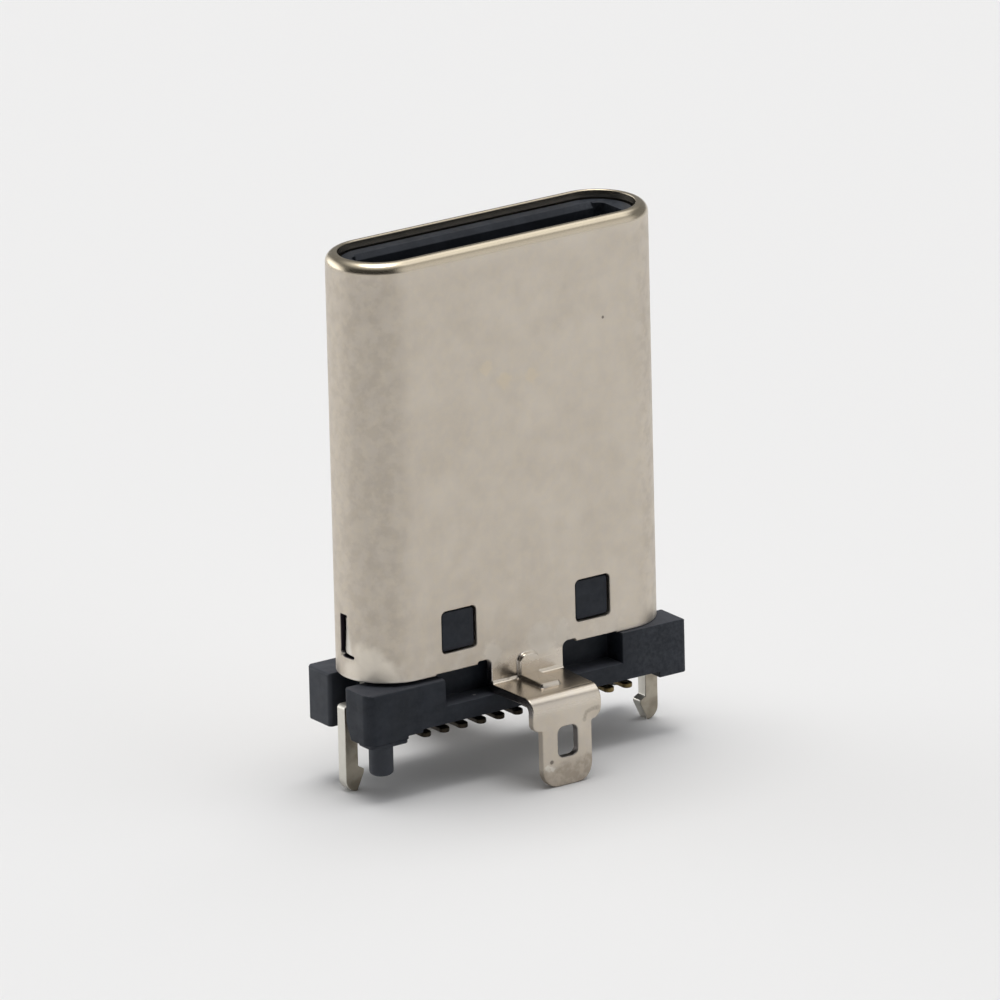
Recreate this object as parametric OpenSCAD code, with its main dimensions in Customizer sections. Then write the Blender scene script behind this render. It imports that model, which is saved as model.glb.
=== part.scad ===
// Vertical board-mount plug with a drawn metal shell, a two-part moulded base and two contact rows.
// Millimetres. The origin is the centre of the footprint on the board's top face, +Z runs to the
// mouth, X is the shell's width, and the whole part repeats itself when turned half round about Z.

/* [Shell] */
// Width of the shell over its round ends
shell_w = 8.25; // [7.9:0.05:8.7]
// Thickness of the shell over its broad faces
shell_t = 2.4; // [2.3:0.02:2.6]
// Length of the shell from its lower edge to the mouth
shell_len = 9.78; // [8.5:0.02:12]
// Sheet thickness of the shell and its solder tabs
shell_wall = 0.2; // [0.16:0.01:0.22]
// Height of the shell's lower edge above the board
shell_lift = 1.37; // [1.25:0.01:1.6]
// Outer radius of the rolled lip at the mouth
lip_r = 0.25; // [0.15:0.01:0.27]
// Distance of the lip's inner edge from the shell's outer face
lip_in = 0.28; // [0.24:0.01:0.34]

/* [Shell windows and lances] */
// Width of a window in a broad face
window_w = 0.94; // [0.6:0.02:1.2]
// Height of a window
window_h = 0.99; // [0.6:0.01:1.2]
// Corner radius of a window
window_r = 0.12; // [0.05:0.01:0.25]
// Distance of a window's centre from the middle of its face
window_x = 1.82; // [1.5:0.02:2.2]
// Height of a window's centre above the shell's lower edge
window_z = 0.96; // [0.8:0.02:1.1]
// Height of the lanced flap in each round end
lance_h = 0.98; // [0.6:0.02:1.2]
// Height of the flap's lower end above the shell's lower edge
lance_z = 0.5; // [0.35:0.01:0.6]
// Length of the flap from its hinge to its free edge
lance_w = 0.42; // [0.3:0.01:0.5]
// Angle by which the flap is pressed inwards
lance_angle = 17; // [8:1:20]

/* [Solder tabs] */
// Width of a solder tab where it leaves the shell
tab_w = 1.95; // [1.6:0.05:2.3]
// Width of that tab where its shelf turns down into the leg
knee_w = 1.86; // [1.55:0.05:2.3]
// Height of the tab shelf's upper face above the board
shelf_z = 0.86; // [0.75:0.01:0.95]
// Distance of a leg's outer face from the middle plane
leg_y = 2.74; // [2.4:0.02:3.2]
// Width of a leg below its shoulders
leg_w = 1.36; // [1:0.02:1.5]
// Depth of every leg tip below the board's top face
leg_drop = 1.3; // [1.1:0.02:2]
// Corner radius of a leg's tip
leg_tip_r = 0.42; // [0.1:0.02:0.45]
// Corner radius of a leg's shoulders
shoulder_r = 0.18; // [0.06:0.01:0.24]
// Height of the shoulders' lower end above the board
shoulder_z = 0.09; // [0:0.01:0.12]
// Width of the slot in a leg
leg_slot_w = 0.53; // [0.3:0.01:0.7]
// Height of the slot in a leg
leg_slot_h = 0.72; // [0.4:0.02:0.9]
// Depth of that slot's centre below the board's top face
leg_slot_z = 0.27; // [0.2:0.01:0.5]
// Inside radius of the bend between shell wall and shelf
bend_r = 0.1; // [0.04:0.01:0.15]
// Inside radius of the bend between shelf and leg
knee_r = 0.14; // [0.08:0.01:0.25]
// Width of the stiffening bead pressed through that first bend
bead_w = 0.6; // [0.4:0.02:0.7]
// Height of the bead above the sheet
bead_h = 0.1; // [0.05:0.01:0.14]
// Reach of the bead up the wall from the shelf
bead_up = 0.6; // [0.4:0.02:0.8]
// Reach of the bead out along the shelf
bead_out = 0.95; // [0.4:0.02:1.05]
// Width of the bend relief on either side of a tab
relief_w = 0.36; // [0.2:0.02:0.5]
// Height of the bend relief above the shell's lower edge
relief_h = 0.1; // [0.06:0.01:0.2]

/* [Base halves] */
// Distance by which the base's face stands out past the shell's broad face
base_step = 0.12; // [0.08:0.01:0.3]
// Height of the base's underside above the board
base_gap = 0.24; // [0.18:0.01:0.32]
// Height of the undersides of block and wing above the board
end_gap = 0.1; // [0.04:0.01:0.15]
// Distance of a block's end face from the middle
block_x = 4.41; // [4.36:0.01:4.7]
// Length of a block's lower part along the width
block_len = 1.08; // [1:0.01:1.2]
// Length of the step between a block and the base's underside
step_len = 0.4; // [0.2:0.01:0.42]
// Height of that step above the board
step_gap = 0.17; // [0.1:0.01:0.24]
// Distance of a block's inner face from the middle plane
block_in = 0.35; // [0.3:0.01:0.45]
// Distance of a wing's end face from the middle
wing_x = 4.27; // [4.15:0.01:4.6]
// Length of the wing's lower part along the width
wing_len = 0.75; // [0.5:0.01:0.9]
// Distance of a wing's inner face from the middle plane
wing_in = 0.44; // [0.3:0.01:0.55]
// Gap between a block's top and the shell's lower edge
ledge_drop = 0.08; // [0.04:0.01:0.12]
// Length of the tab pocket on the block's side of the middle
pocket_left = 2.3; // [1.6:0.02:2.5]
// Length of the tab pocket on the wing's side of the middle
pocket_right = 2.52; // [1.6:0.02:2.7]
// Wall between the tab pocket and the contact stems
pocket_wall = 0.15; // [0.08:0.01:0.2]
// Height of a base half's neck inside the shell
neck_h = 1.75; // [1.65:0.05:2.1]
// Recess of a snap lug behind the shell's outer face
lug_recess = 0.06; // [0.03:0.01:0.15]
// Diameter of a locating peg
peg_d = 0.55; // [0.4:0.01:0.58]
// Length of a locating peg below its foot
peg_len = 0.69; // [0.4:0.01:1]
// Distance of a peg from the middle along the width
peg_x = 3.87; // [3.8:0.01:3.95]
// Distance of a peg from the middle plane
peg_y = 0.98; // [0.9:0.01:1]

/* [Contacts] */
// Number of contacts in a row
row_count = 12; // [10:2:12]
// Distance between neighbouring contacts
pitch = 0.5; // [0.46:0.01:0.5]
// Width of a contact
contact_w = 0.25; // [0.18:0.01:0.28]
// Thickness of a contact
contact_t = 0.12; // [0.08:0.01:0.14]
// Distance of a solder tail's end from the middle plane
tail_y = 1.24; // [1:0.02:1.6]
// Distance of the contact stems from the middle plane
stem_y = 0.5; // [0.4:0.01:0.52]
// Distance by which a contact point stands into the tongue slot
contact_bump = 0.13; // [0.05:0.01:0.18]

/* [Housing] */
// Distance of the tongue slot's end from the shell's round end
slot_end = 0.705; // [0.68:0.005:0.78]
// Thickness of the tongue slot
slot_t = 0.95; // [0.85:0.01:1]
// Recess of the housing's face below the mouth
face_recess = 0.2; // [0.2:0.01:0.6]
// Height of the web between the rear cavity and the tongue slot
web_h = 0.93; // [0.6:0.01:1.2]
// Width of a contact groove
groove_w = 0.35; // [0.31:0.01:0.38]
// Wall left between a contact groove and the shell
groove_wall = 0.13; // [0.08:0.01:0.16]

/* [Latch plate] */
// Sheet thickness of the latch plate
plate_t = 0.3; // [0.2:0.01:0.34]
// Distance of the plate's edge from the shell's round end
plate_end = 0.475; // [0.43:0.005:0.6]
// Width of a latch arm
arm_w = 0.24; // [0.16:0.01:0.3]
// Distance by which a latch hook stands into the tongue slot
hook_reach = 0.28; // [0.1:0.01:0.4]
// Depth of a latch hook below the housing's face
hook_depth = 1.9; // [1.5:0.05:3]
// Distance of a pin's outer edge from the middle
pin_x = 4.27; // [4.1:0.01:4.4]
// Width of a board pin
pin_w = 0.34; // [0.3:0.01:0.4]
// Reach of the barb on a board pin
barb = 0.15; // [0.05:0.01:0.2]

/* [Ground springs] */
// Sheet thickness of a ground spring
spring_t = 0.1; // [0.06:0.01:0.12]
// Distance of a ground spring's end from the start of the shell's round end
spring_end = 0.125; // [0.03:0.005:0.5]
// Number of fingers on a ground spring
finger_count = 4; // [2:1:5]
// Width of a spring finger
finger_w = 0.7; // [0.4:0.05:0.8]
// Height of the rail that carries the fingers
rail_h = 0.3; // [0.2:0.02:0.4]

/* [Fits] */
// Gap between the shell and what slides into it
shell_fit = 0.015; // [0.005:0.005:0.03]
// Gap round a contact where the base is moulded over it
mould_gap = 0.01; // [0.005:0.005:0.02]
// Gap round the latch plate and the springs in the housing
slide_fit = 0.03; // [0.01:0.005:0.04]

/* [Hidden] */
$fn = 48;
past = 1;
bend_steps = 4;

outer_t = shell_t / 2;
inner_t = outer_t - shell_wall;
fitted_t = inner_t - shell_fit;
end_x = shell_w / 2 - outer_t;
mouth_z = shell_lift + shell_len;
lip_inner_r = 0.06;

step_x = 2.46;
edge_step = 0.03;
relief_r = 0.4 * relief_w;
leg_slot_r = 0.3 * leg_slot_w;

bead_r = (bead_w * bead_w / 4 + bead_h * bead_h) / (2 * bead_h);
bead_depth = bead_r - bead_h;
bead_sunk = shell_wall / 4;

lance_free_y = 0.15;
lance_hinge_y = lance_free_y - lance_w;
lance_slit = 0.04;
lance_tilt = 3;
lance_root = 0.06;
lance_room = 0.12;

base_y = outer_t + base_step;
ledge_z = shell_lift - ledge_drop;
lip_top = shelf_z - shell_wall;
pocket_back = stem_y + contact_t / 2 + pocket_wall;
pocket_over = 0.08;
neck_top = shell_lift + neck_h;
edge_r = 0.1;
block_r = 0.12;
block_taper = 0.24;
block_taper_h = 0.5;
foot_w = 1;
foot_shift = 0.07;
foot_d = 0.62;
foot_r = 0.12;
peg_chamfer = 0.06;
lug_gap = 0.04;

cavity_h = 0.55;
cavity_top = neck_top + cavity_h;
slot_bottom = cavity_top + web_h;
house_top = mouth_z - face_recess;
slot_w = shell_w - 2 * slot_end;
slot_r = 0.2;
lead_in = 0.12;
nose_in = lip_in - shell_wall + slide_fit;
nose_h = max(slide_fit, 2 * shell_wall - face_recess) + slide_fit;

spring_w = 2 * (end_x - spring_end);
rail_cover = 0.3;
rail_bottom = house_top - rail_cover - rail_h;
finger_drop = 0.55;
finger_tip = 0.18;
finger_gap = 0.05;
finger_bump = 0.08;
finger_end = rail_bottom - finger_drop - finger_tip;
finger_pitch = spring_w / finger_count;
rail_y = fitted_t - spring_t / 2;
finger_y = slot_t / 2 - finger_bump + spring_t / 2;

groove_bar = 0.2;
groove_top = finger_end - groove_bar;
groove_back = fitted_t - groove_wall;
tip_room = 0.12;
tip_len = 0.65;
tip_back = 0.14;
tip_z = groove_top - tip_room;
point_z = tip_z - tip_len;
beam_gap = 0.02;
beam_y = groove_back - beam_gap - contact_t / 2;
point_y = slot_t / 2 - contact_bump + contact_t / 2;
tip_y = slot_t / 2 + tip_back;
jog_h = 0.4;
contact_bend_r = 0.14;

plate_half = plate_t / 2;
plate_low = 0.35;
ear_top = 0.75;
plate_w = shell_w - 2 * plate_end;
tongue_w = row_count * pitch;
slot_floor = 0.2;
plate_top = slot_bottom - slot_floor;
arm_x = slot_w / 2 + slide_fit;
hook_z = house_top - hook_depth;
hook_h = 0.55;
hook_face = 0.18;
hook_lead = 0.35;
arm_top = hook_z + hook_lead;
pin_tip_r = 0.3;
barb_h = 0.49;
barb_fall = 0.08;
barb_face = 0.08;

shell_tone = [0.70, 0.66, 0.60];
steel_tone = [0.74, 0.73, 0.70];
plastic_tone = [0.10, 0.11, 0.13];
gold_tone = [0.80, 0.64, 0.33];

// Path helpers: a strip is a centre line given a thickness, with round bends

function unit(v) = v / norm(v);
function left_of(v) = [-v[1], v[0]];
function polar(a) = atan2(a[1], a[0]);
function half_turn(a) = a > 180 ? a - 360 : a < -180 ? a + 360 : a;

function bend(a, b, c, r, steps) =
    let (u = unit(a - b), w = unit(c - b), half = acos(u * w) / 2)
    let (hub = b + unit(u + w) * r / sin(half))
    let (from = polar(b + u * r / tan(half) - hub))
    let (sweep = half_turn(polar(b + w * r / tan(half) - hub) - from))
    [for (k = [0 : steps]) hub + r * [cos(from + sweep * k / steps), sin(from + sweep * k / steps)]];

function rounded(path, r, steps) =
    concat(
        [path[0]],
        [for (i = [1 : len(path) - 2]) each bend(path[i - 1], path[i], path[i + 1], r, steps)],
        [path[len(path) - 1]]
    );

function shifted(a, b, c, h) =
    let (n = left_of(unit(b - a)), m = unit(n + left_of(unit(c - b))))
    b + m * h / (m * n);

function beside(path, h) =
    let (last = len(path) - 1)
    concat(
        [path[0] + left_of(unit(path[1] - path[0])) * h],
        [for (i = [1 : last - 1]) shifted(path[i - 1], path[i], path[i + 1], h)],
        [path[last] + left_of(unit(path[last] - path[last - 1])) * h]
    );

function strip(path, t) =
    let (near = beside(path, t / 2), far = beside(path, -t / 2))
    concat(near, [for (i = [len(far) - 1 : -1 : 0]) far[i]]);

// Outline helpers

module along_x(length) {
    rotate([90, 0, 90]) linear_extrude(length, center = true) children();
}

module along_y(length) {
    rotate([90, 0, 0]) linear_extrude(length, center = true) children();
}

module both_rows() {
    for (turn = [0, 180])
        rotate([0, 0, turn]) children();
}

module stadium(r) {
    square([2 * end_x, 2 * r], center = true);
    for (side = [-1, 1])
        translate([side * end_x, 0]) circle(r);
}

module round_rect(w, h, r) {
    square([w - 2 * r, h], center = true);
    square([w, h - 2 * r], center = true);
    for (sx = [-1, 1], sy = [-1, 1])
        translate([sx * (w / 2 - r), sy * (h / 2 - r)]) circle(r);
}

// What a fillet takes off an outline's upper right corner at the origin
module corner_waste(r) {
    difference() {
        translate([-r, -r]) square(2 * r);
        translate([-r, -r]) circle(r);
    }
}

module quarter_ring(r, t) {
    intersection() {
        difference() {
            circle(r + t);
            circle(r);
        }
        square(r + t);
    }
}

function row_x(i) = (i - (row_count + 1) / 2) * pitch;

// Shell: a drawn stadium tube with a rolled lip, and the two solder tabs folded out of it

module wall_profile() {
    difference() {
        union() {
            translate([inner_t, shell_lift]) square([shell_wall, shell_len]);
            polygon([
                [outer_t, mouth_z],
                [outer_t - lip_in, mouth_z],
                [outer_t - lip_in, mouth_z - shell_wall],
                [inner_t, mouth_z - 2 * shell_wall],
                [outer_t, mouth_z - 2 * shell_wall]
            ]);
        }
        translate([outer_t, mouth_z]) corner_waste(lip_r);
        translate([outer_t - lip_in, mouth_z]) mirror([1, 0]) corner_waste(lip_inner_r);
    }
}

module drawn_tube() {
    both_rows() {
        translate([end_x, 0, 0]) rotate([0, 0, -90]) rotate_extrude(angle = 180) wall_profile();
        along_x(2 * end_x) wall_profile();
    }
}

module lower_edge_waste() {
    for (side = [0, 1])
        mirror([side, 0]) {
            translate([tab_w / 2, shell_lift - past])
                square([step_x - tab_w / 2, past + edge_step]);
            translate([tab_w / 2 + relief_w / 2, shell_lift + relief_h - relief_w])
                round_rect(relief_w, 2 * relief_w, relief_r);
        }
}

module shell_windows() {
    for (side = [-1, 1])
        translate([side * window_x, shell_lift + window_z]) round_rect(window_w, window_h, window_r);
}

module lance_opening() {
    translate([-shell_w / 2 - past, lance_hinge_y, shell_lift + lance_z])
        cube([past + shell_wall + lance_w / 2, lance_w, lance_h]);
}

module lance_flap() {
    hinge_x = -end_x - sqrt(outer_t * outer_t - lance_hinge_y * lance_hinge_y);
    intersection() {
        translate([hinge_x, lance_hinge_y, shell_lift + lance_z - lance_root])
            rotate([0, lance_tilt, 90 - lance_angle])
            translate([-lance_root, -shell_wall, 0])
            cube([lance_w + lance_root - lance_slit, shell_wall, lance_h + lance_root - lance_slit]);
        translate([0, 0, shell_lift]) linear_extrude(shell_len) stadium(outer_t);
    }
}

// Side view of a tab: down from the wall, out along the shelf, down again as a leg
module tab_profile() {
    knee = knee_r + shell_wall;
    bend_top = shelf_z + bend_r;
    translate([-outer_t, bend_top]) square([shell_wall, shell_lift + edge_step - bend_top]);
    translate([-outer_t - bend_r, bend_top]) mirror([0, 1]) quarter_ring(bend_r, shell_wall);
    translate([-leg_y + knee, lip_top]) square([leg_y - knee - outer_t - bend_r, shell_wall]);
    translate([-leg_y + knee, shelf_z - knee]) mirror([1, 0]) quarter_ring(knee_r, shell_wall);
    translate([-leg_y, -leg_drop]) square([shell_wall, shelf_z - knee + leg_drop]);
}

// Front view of a tab: full width down to the rounded shoulders, then the slotted leg
module tab_outline() {
    corner_r = min(shoulder_r, (knee_w - leg_w) / 2);
    difference() {
        union() {
            translate([-tab_w / 2, shoulder_z]) square([tab_w, shell_lift + past - shoulder_z]);
            translate([0, (lip_top - leg_drop) / 2]) round_rect(leg_w, leg_drop + lip_top, leg_tip_r);
        }
        for (side = [0, 1])
            mirror([side, 0])
                translate([knee_w / 2, shoulder_z]) mirror([0, 1]) corner_waste(corner_r);
        translate([0, -leg_slot_z]) round_rect(leg_slot_w, leg_slot_h, leg_slot_r);
    }
}

// Top view of a tab: it narrows from the wall to the knee
module tab_plan() {
    polygon([
        [-tab_w / 2, 0],
        [-tab_w / 2, -outer_t - bend_r],
        [-knee_w / 2, -leg_y + knee_r + shell_wall],
        [-knee_w / 2, -leg_y - past],
        [knee_w / 2, -leg_y - past],
        [knee_w / 2, -leg_y + knee_r + shell_wall],
        [tab_w / 2, -outer_t - bend_r],
        [tab_w / 2, 0]
    ]);
}

// A round bar run up the wall and out along the shelf; the bead is the part that clears the sheet
module bead_core(r) {
    wall_y = bead_depth - outer_t;
    floor_z = shelf_z - bead_depth;
    top_z = shelf_z + bead_up - bead_w / 2;
    out_y = -outer_t - bead_out + bead_w / 2;
    translate([0, wall_y, floor_z]) cylinder(r = r, h = top_z - floor_z);
    translate([0, wall_y, top_z]) sphere(r);
    translate([0, out_y, floor_z]) rotate([-90, 0, 0]) cylinder(r = r, h = wall_y - out_y);
    translate([0, out_y, floor_z]) sphere(r);
}

module solder_tab() {
    intersection() {
        along_x(tab_w) tab_profile();
        along_y(2 * leg_y + past) tab_outline();
        translate([0, 0, -leg_drop]) linear_extrude(leg_drop + shell_lift + past) tab_plan();
    }
    intersection() {
        bead_core(bead_r);
        translate([-bead_w, -outer_t - bead_out, shelf_z - bead_sunk])
            cube([2 * bead_w, bead_out + bead_sunk, bead_up + bead_sunk]);
    }
}

module shell() {
    color(shell_tone)
        difference() {
            union() {
                difference() {
                    drawn_tube();
                    along_y(2 * shell_t) lower_edge_waste();
                    along_y(2 * shell_t) shell_windows();
                    both_rows() lance_opening();
                }
                both_rows() lance_flap();
                both_rows() solder_tab();
            }
            both_rows() bead_core(bead_r - shell_wall);
        }
}

// Base halves: two equal mouldings, turned half round to each other about Z

module end_block() {
    intersection() {
        translate([-block_x, -base_y, end_gap])
            linear_extrude(ledge_z - end_gap)
            difference() {
                square([block_len, base_y - block_in]);
                rotate([0, 0, 180]) corner_waste(block_r);
                translate([0, base_y - block_in]) mirror([1, 0]) corner_waste(block_r);
            }
        along_x(2 * block_x + past)
            difference() {
                translate([-base_y, end_gap]) square([base_y - block_in, ledge_z - end_gap]);
                polygon([
                    [-block_in, end_gap + block_taper_h],
                    [-block_in - block_taper, end_gap],
                    [-block_in, end_gap]
                ]);
            }
    }
}

module foot_and_peg() {
    translate([-peg_x, -peg_y, 0]) {
        translate([foot_shift, 0, 0]) linear_extrude(base_gap) round_rect(foot_w, foot_d, foot_r);
        translate([0, 0, peg_chamfer - peg_len]) cylinder(d = peg_d, h = peg_len - peg_chamfer);
        translate([0, 0, -peg_len]) cylinder(d1 = peg_d - 2 * peg_chamfer, d2 = peg_d, h = peg_chamfer);
    }
}

module wing_outline() {
    difference() {
        square([wing_x - pocket_right, base_y - wing_in]);
        translate([wing_x - pocket_right, 0]) mirror([0, 1]) corner_waste(edge_r);
        translate([wing_x - pocket_right, base_y - wing_in]) corner_waste(edge_r);
    }
}

module wing() {
    intersection() {
        translate([pocket_right, -base_y, end_gap]) linear_extrude(shell_lift - end_gap) wing_outline();
        along_y(2 * base_y + past)
            difference() {
                union() {
                    translate([pocket_right, base_gap])
                        square([wing_x - pocket_right, shell_lift - base_gap]);
                    translate([wing_x - wing_len, end_gap]) square([wing_len, shell_lift - end_gap]);
                }
                translate([wing_x, shell_lift]) corner_waste(edge_r);
            }
    }
}

module neck() {
    translate([0, 0, ledge_z])
        linear_extrude(neck_top - ledge_z)
        intersection() {
            stadium(fitted_t);
            translate([-shell_w / 2, -shell_t]) square([shell_w, shell_t - plate_half]);
        }
}

module snap_lugs() {
    for (side = [-1, 1])
        translate([side * window_x, -outer_t + lug_recess, shell_lift + window_z])
            rotate([-90, 0, 0])
            linear_extrude(outer_t - plate_half - lug_recess)
            round_rect(window_w - 2 * lug_gap, window_h - 2 * lug_gap, window_r - lug_gap);
}

module ledge_edge() {
    translate([-pocket_left - past, 0, 0])
        along_x(block_x)
        translate([-base_y, ledge_z]) mirror([1, 0]) corner_waste(edge_r);
}

module tab_pocket() {
    translate([-pocket_left, -base_y - past, lip_top])
        cube([
            pocket_left + pocket_right,
            past + base_y - pocket_back,
            shell_lift + pocket_over - lip_top
        ]);
}

module lance_notch() {
    translate([-shell_w / 2, lance_hinge_y - lance_w / 2, shell_lift + lance_z - lance_room])
        cube([shell_w / 2 - plate_w / 2, past, lance_h + 2 * lance_room]);
}

module base_half() {
    beam_left = block_x - block_len;
    beam_right = wing_x - wing_len;
    step_d = base_y - block_in;
    difference() {
        union() {
            translate([-beam_left, -base_y, base_gap])
                cube([beam_left + beam_right, base_y - plate_half, ledge_z - base_gap]);
            translate([-beam_left, -base_y, step_gap]) cube([step_len, step_d, ledge_z - step_gap]);
            end_block();
            foot_and_peg();
            wing();
            neck();
            snap_lugs();
        }
        tab_pocket();
        ledge_edge();
        lance_notch();
        for (i = [1 : row_count])
            translate([row_x(i), 0, 0])
                contact_strip(contact_w + 2 * mould_gap, contact_t + 2 * mould_gap);
    }
}

module front_base() {
    color(plastic_tone) base_half();
}

module rear_base() {
    color(plastic_tone) rotate([0, 0, 180]) base_half();
}

// Contacts: stamped strips with a solder tail, a moulded-in stem and a spring beam

contact_path = rounded(
    [
        [contact_w / 2 - tail_y, contact_t / 2],
        [-stem_y, contact_t / 2],
        [-stem_y, neck_top],
        [-beam_y, neck_top + jog_h],
        [-beam_y, slot_bottom],
        [-point_y, point_z],
        [-tip_y, tip_z]
    ],
    contact_bend_r, bend_steps
);

module contact_strip(w, t) {
    along_x(w) polygon(strip(contact_path, t));
}

module contact() {
    contact_strip(contact_w, contact_t);
    translate([0, contact_w / 2 - tail_y, 0]) cylinder(d = contact_w, h = contact_t);
}

module contact_a(i) {
    color(gold_tone) translate([row_x(i), 0, 0]) contact();
}

module contact_b(i) {
    color(gold_tone) rotate([0, 0, 180]) translate([row_x(i), 0, 0]) contact();
}

// Front housing: the insulator round the tongue slot, with a groove for every contact

module contact_grooves() {
    for (i = [1 : row_count]) {
        translate([row_x(i) - groove_w / 2, -groove_back, cavity_top - past])
            cube([groove_w, contact_t + 2 * beam_gap, past + groove_top - cavity_top]);
        translate([row_x(i) - groove_w / 2, -groove_back, slot_bottom])
            cube([groove_w, groove_back, groove_top - slot_bottom]);
    }
}

module tongue_slot() {
    translate([0, 0, slot_bottom])
        linear_extrude(past + house_top - slot_bottom)
        round_rect(slot_w, slot_t, slot_r);
    along_x(slot_w - 2 * slot_r)
        polygon([
            [-slot_t / 2 - lead_in, house_top],
            [slot_t / 2 + lead_in, house_top],
            [slot_t / 2, house_top - lead_in],
            [-slot_t / 2, house_top - lead_in]
        ]);
}

module latch_slots() {
    room = plate_half + slide_fit;
    for (side = [0, 1])
        mirror([side, 0, 0])
            translate([slot_w / 2 - slot_r, -room, neck_top - past])
            cube([shell_w / 2, 2 * room, past + arm_top + hook_h / 2 - neck_top]);
    translate([-tongue_w / 2 - slide_fit, -room, neck_top])
        cube([tongue_w + 2 * slide_fit, 2 * room, plate_top + slide_fit - neck_top]);
}

module spring_seat() {
    seat_h = rail_h + 2 * slide_fit;
    translate([-spring_w / 2 - slide_fit, -outer_t, rail_bottom - slide_fit])
        cube([spring_w + 2 * slide_fit, outer_t - fitted_t + spring_t + slide_fit, seat_h]);
    for (i = [1 : finger_count])
        translate([finger_x(i) - finger_w / 2 - finger_gap, -outer_t, finger_end - finger_gap])
            cube([finger_w + 2 * finger_gap, outer_t, rail_bottom - finger_end + finger_gap]);
}

module front_housing() {
    color(plastic_tone)
        difference() {
            union() {
                translate([0, 0, neck_top])
                    linear_extrude(house_top - nose_h - neck_top) stadium(fitted_t);
                translate([0, 0, neck_top])
                    linear_extrude(house_top - neck_top) stadium(fitted_t - nose_in);
            }
            translate([-tongue_w / 2, -groove_back, neck_top - past])
                cube([tongue_w, 2 * groove_back, past + cavity_h]);
            tongue_slot();
            both_rows() contact_grooves();
            latch_slots();
            both_rows() spring_seat();
        }
}

// Latch plate: the flat steel plate between the rows, with latch arms above and barbed pins below

module latch_arm_outline() {
    polygon([
        [arm_x, neck_top - arm_w],
        [arm_x + arm_w, neck_top - arm_w],
        [arm_x + arm_w, arm_top],
        [arm_x, arm_top],
        [slot_w / 2 - hook_reach, hook_z],
        [slot_w / 2 - hook_reach, hook_z - hook_face],
        [arm_x, hook_z - hook_h]
    ]);
}

module board_pin_outline() {
    pin_in = pin_x - pin_w;
    ear_in = plate_w / 2 - pin_w;
    difference() {
        polygon([
            [ear_in, plate_low],
            [pin_in, plate_low],
            [pin_in, -leg_drop + barb_h + barb_fall],
            [pin_in - barb, -leg_drop + barb_h],
            [pin_in - barb, -leg_drop + barb_h - barb_face],
            [pin_x - pin_tip_r, -leg_drop],
            [pin_x, -leg_drop],
            [pin_x, ear_top],
            [ear_in, ear_top]
        ]);
        translate([pin_x, -leg_drop]) mirror([0, 1]) corner_waste(pin_tip_r);
        translate([pin_x, ear_top]) corner_waste(edge_r);
    }
}

module latch_plate() {
    color(steel_tone)
        along_y(plate_t) {
            translate([-plate_w / 2, plate_low]) square([plate_w, neck_top - plate_low]);
            translate([-tongue_w / 2, plate_low]) square([tongue_w, plate_top - plate_low]);
            for (side = [0, 1])
                mirror([side, 0]) {
                    latch_arm_outline();
                    board_pin_outline();
                }
        }
}

// Ground springs: a rail in the housing's broad face with fingers that dip into the tongue slot

function finger_x(i) = (i - (finger_count + 1) / 2) * finger_pitch;

finger_path = rounded(
    [
        [-rail_y, rail_bottom + rail_h / 2],
        [-rail_y, rail_bottom],
        [-finger_y, rail_bottom - finger_drop],
        [-finger_y - finger_tip, finger_end]
    ],
    spring_t, bend_steps
);

module ground_spring() {
    translate([-spring_w / 2, -fitted_t, rail_bottom]) cube([spring_w, spring_t, rail_h]);
    for (i = [1 : finger_count])
        translate([finger_x(i), 0, 0]) along_x(finger_w) polygon(strip(finger_path, spring_t));
}

module front_ground_spring() {
    color(steel_tone) ground_spring();
}

module rear_ground_spring() {
    color(steel_tone) rotate([0, 0, 180]) ground_spring();
}

shell();
front_base();
rear_base();
front_housing();
latch_plate();
front_ground_spring();
rear_ground_spring();
for (i = [1 : row_count]) {
    contact_a(i);
    contact_b(i);
}
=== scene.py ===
# %% [markdown]
# # Dressing an upright board-mount plug
# The plug is under 13 mm tall: a drawn metal shell on a black moulded base, with two rows of gold
# contacts. The measured solids come first. Each visible piece is then made again with rounded edges
# and real finishes, always in the place that its solid has. Sizes are typed in millimetres.

# %% Load the measured frame
import math

import bmesh
import bpy
import numpy as np
from mathutils import Matrix, Vector
from mathutils.geometry import delaunay_2d_cdt


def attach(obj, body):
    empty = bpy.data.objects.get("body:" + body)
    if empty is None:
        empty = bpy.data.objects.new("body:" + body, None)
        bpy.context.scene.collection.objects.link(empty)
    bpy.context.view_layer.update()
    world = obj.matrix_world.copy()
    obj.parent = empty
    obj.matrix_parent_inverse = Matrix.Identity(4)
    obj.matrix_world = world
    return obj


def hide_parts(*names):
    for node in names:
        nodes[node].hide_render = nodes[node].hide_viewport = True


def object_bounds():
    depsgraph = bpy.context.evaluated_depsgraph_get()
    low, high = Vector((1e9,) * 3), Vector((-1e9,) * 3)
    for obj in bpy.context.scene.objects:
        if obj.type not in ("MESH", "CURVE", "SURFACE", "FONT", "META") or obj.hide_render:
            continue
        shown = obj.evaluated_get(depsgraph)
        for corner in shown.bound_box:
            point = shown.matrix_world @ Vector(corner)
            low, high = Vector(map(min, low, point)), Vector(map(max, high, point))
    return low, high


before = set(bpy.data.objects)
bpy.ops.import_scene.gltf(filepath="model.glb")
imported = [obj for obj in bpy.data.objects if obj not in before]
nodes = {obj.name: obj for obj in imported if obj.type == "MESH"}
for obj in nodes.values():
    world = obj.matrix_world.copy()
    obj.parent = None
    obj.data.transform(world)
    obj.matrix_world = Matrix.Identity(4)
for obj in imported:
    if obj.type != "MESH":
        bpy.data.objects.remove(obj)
cad_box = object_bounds()
MM = 0.001
print("nodes:", len(nodes), "height in mm:", round((cad_box[1].z - cad_box[0].z) / MM, 2))

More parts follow.
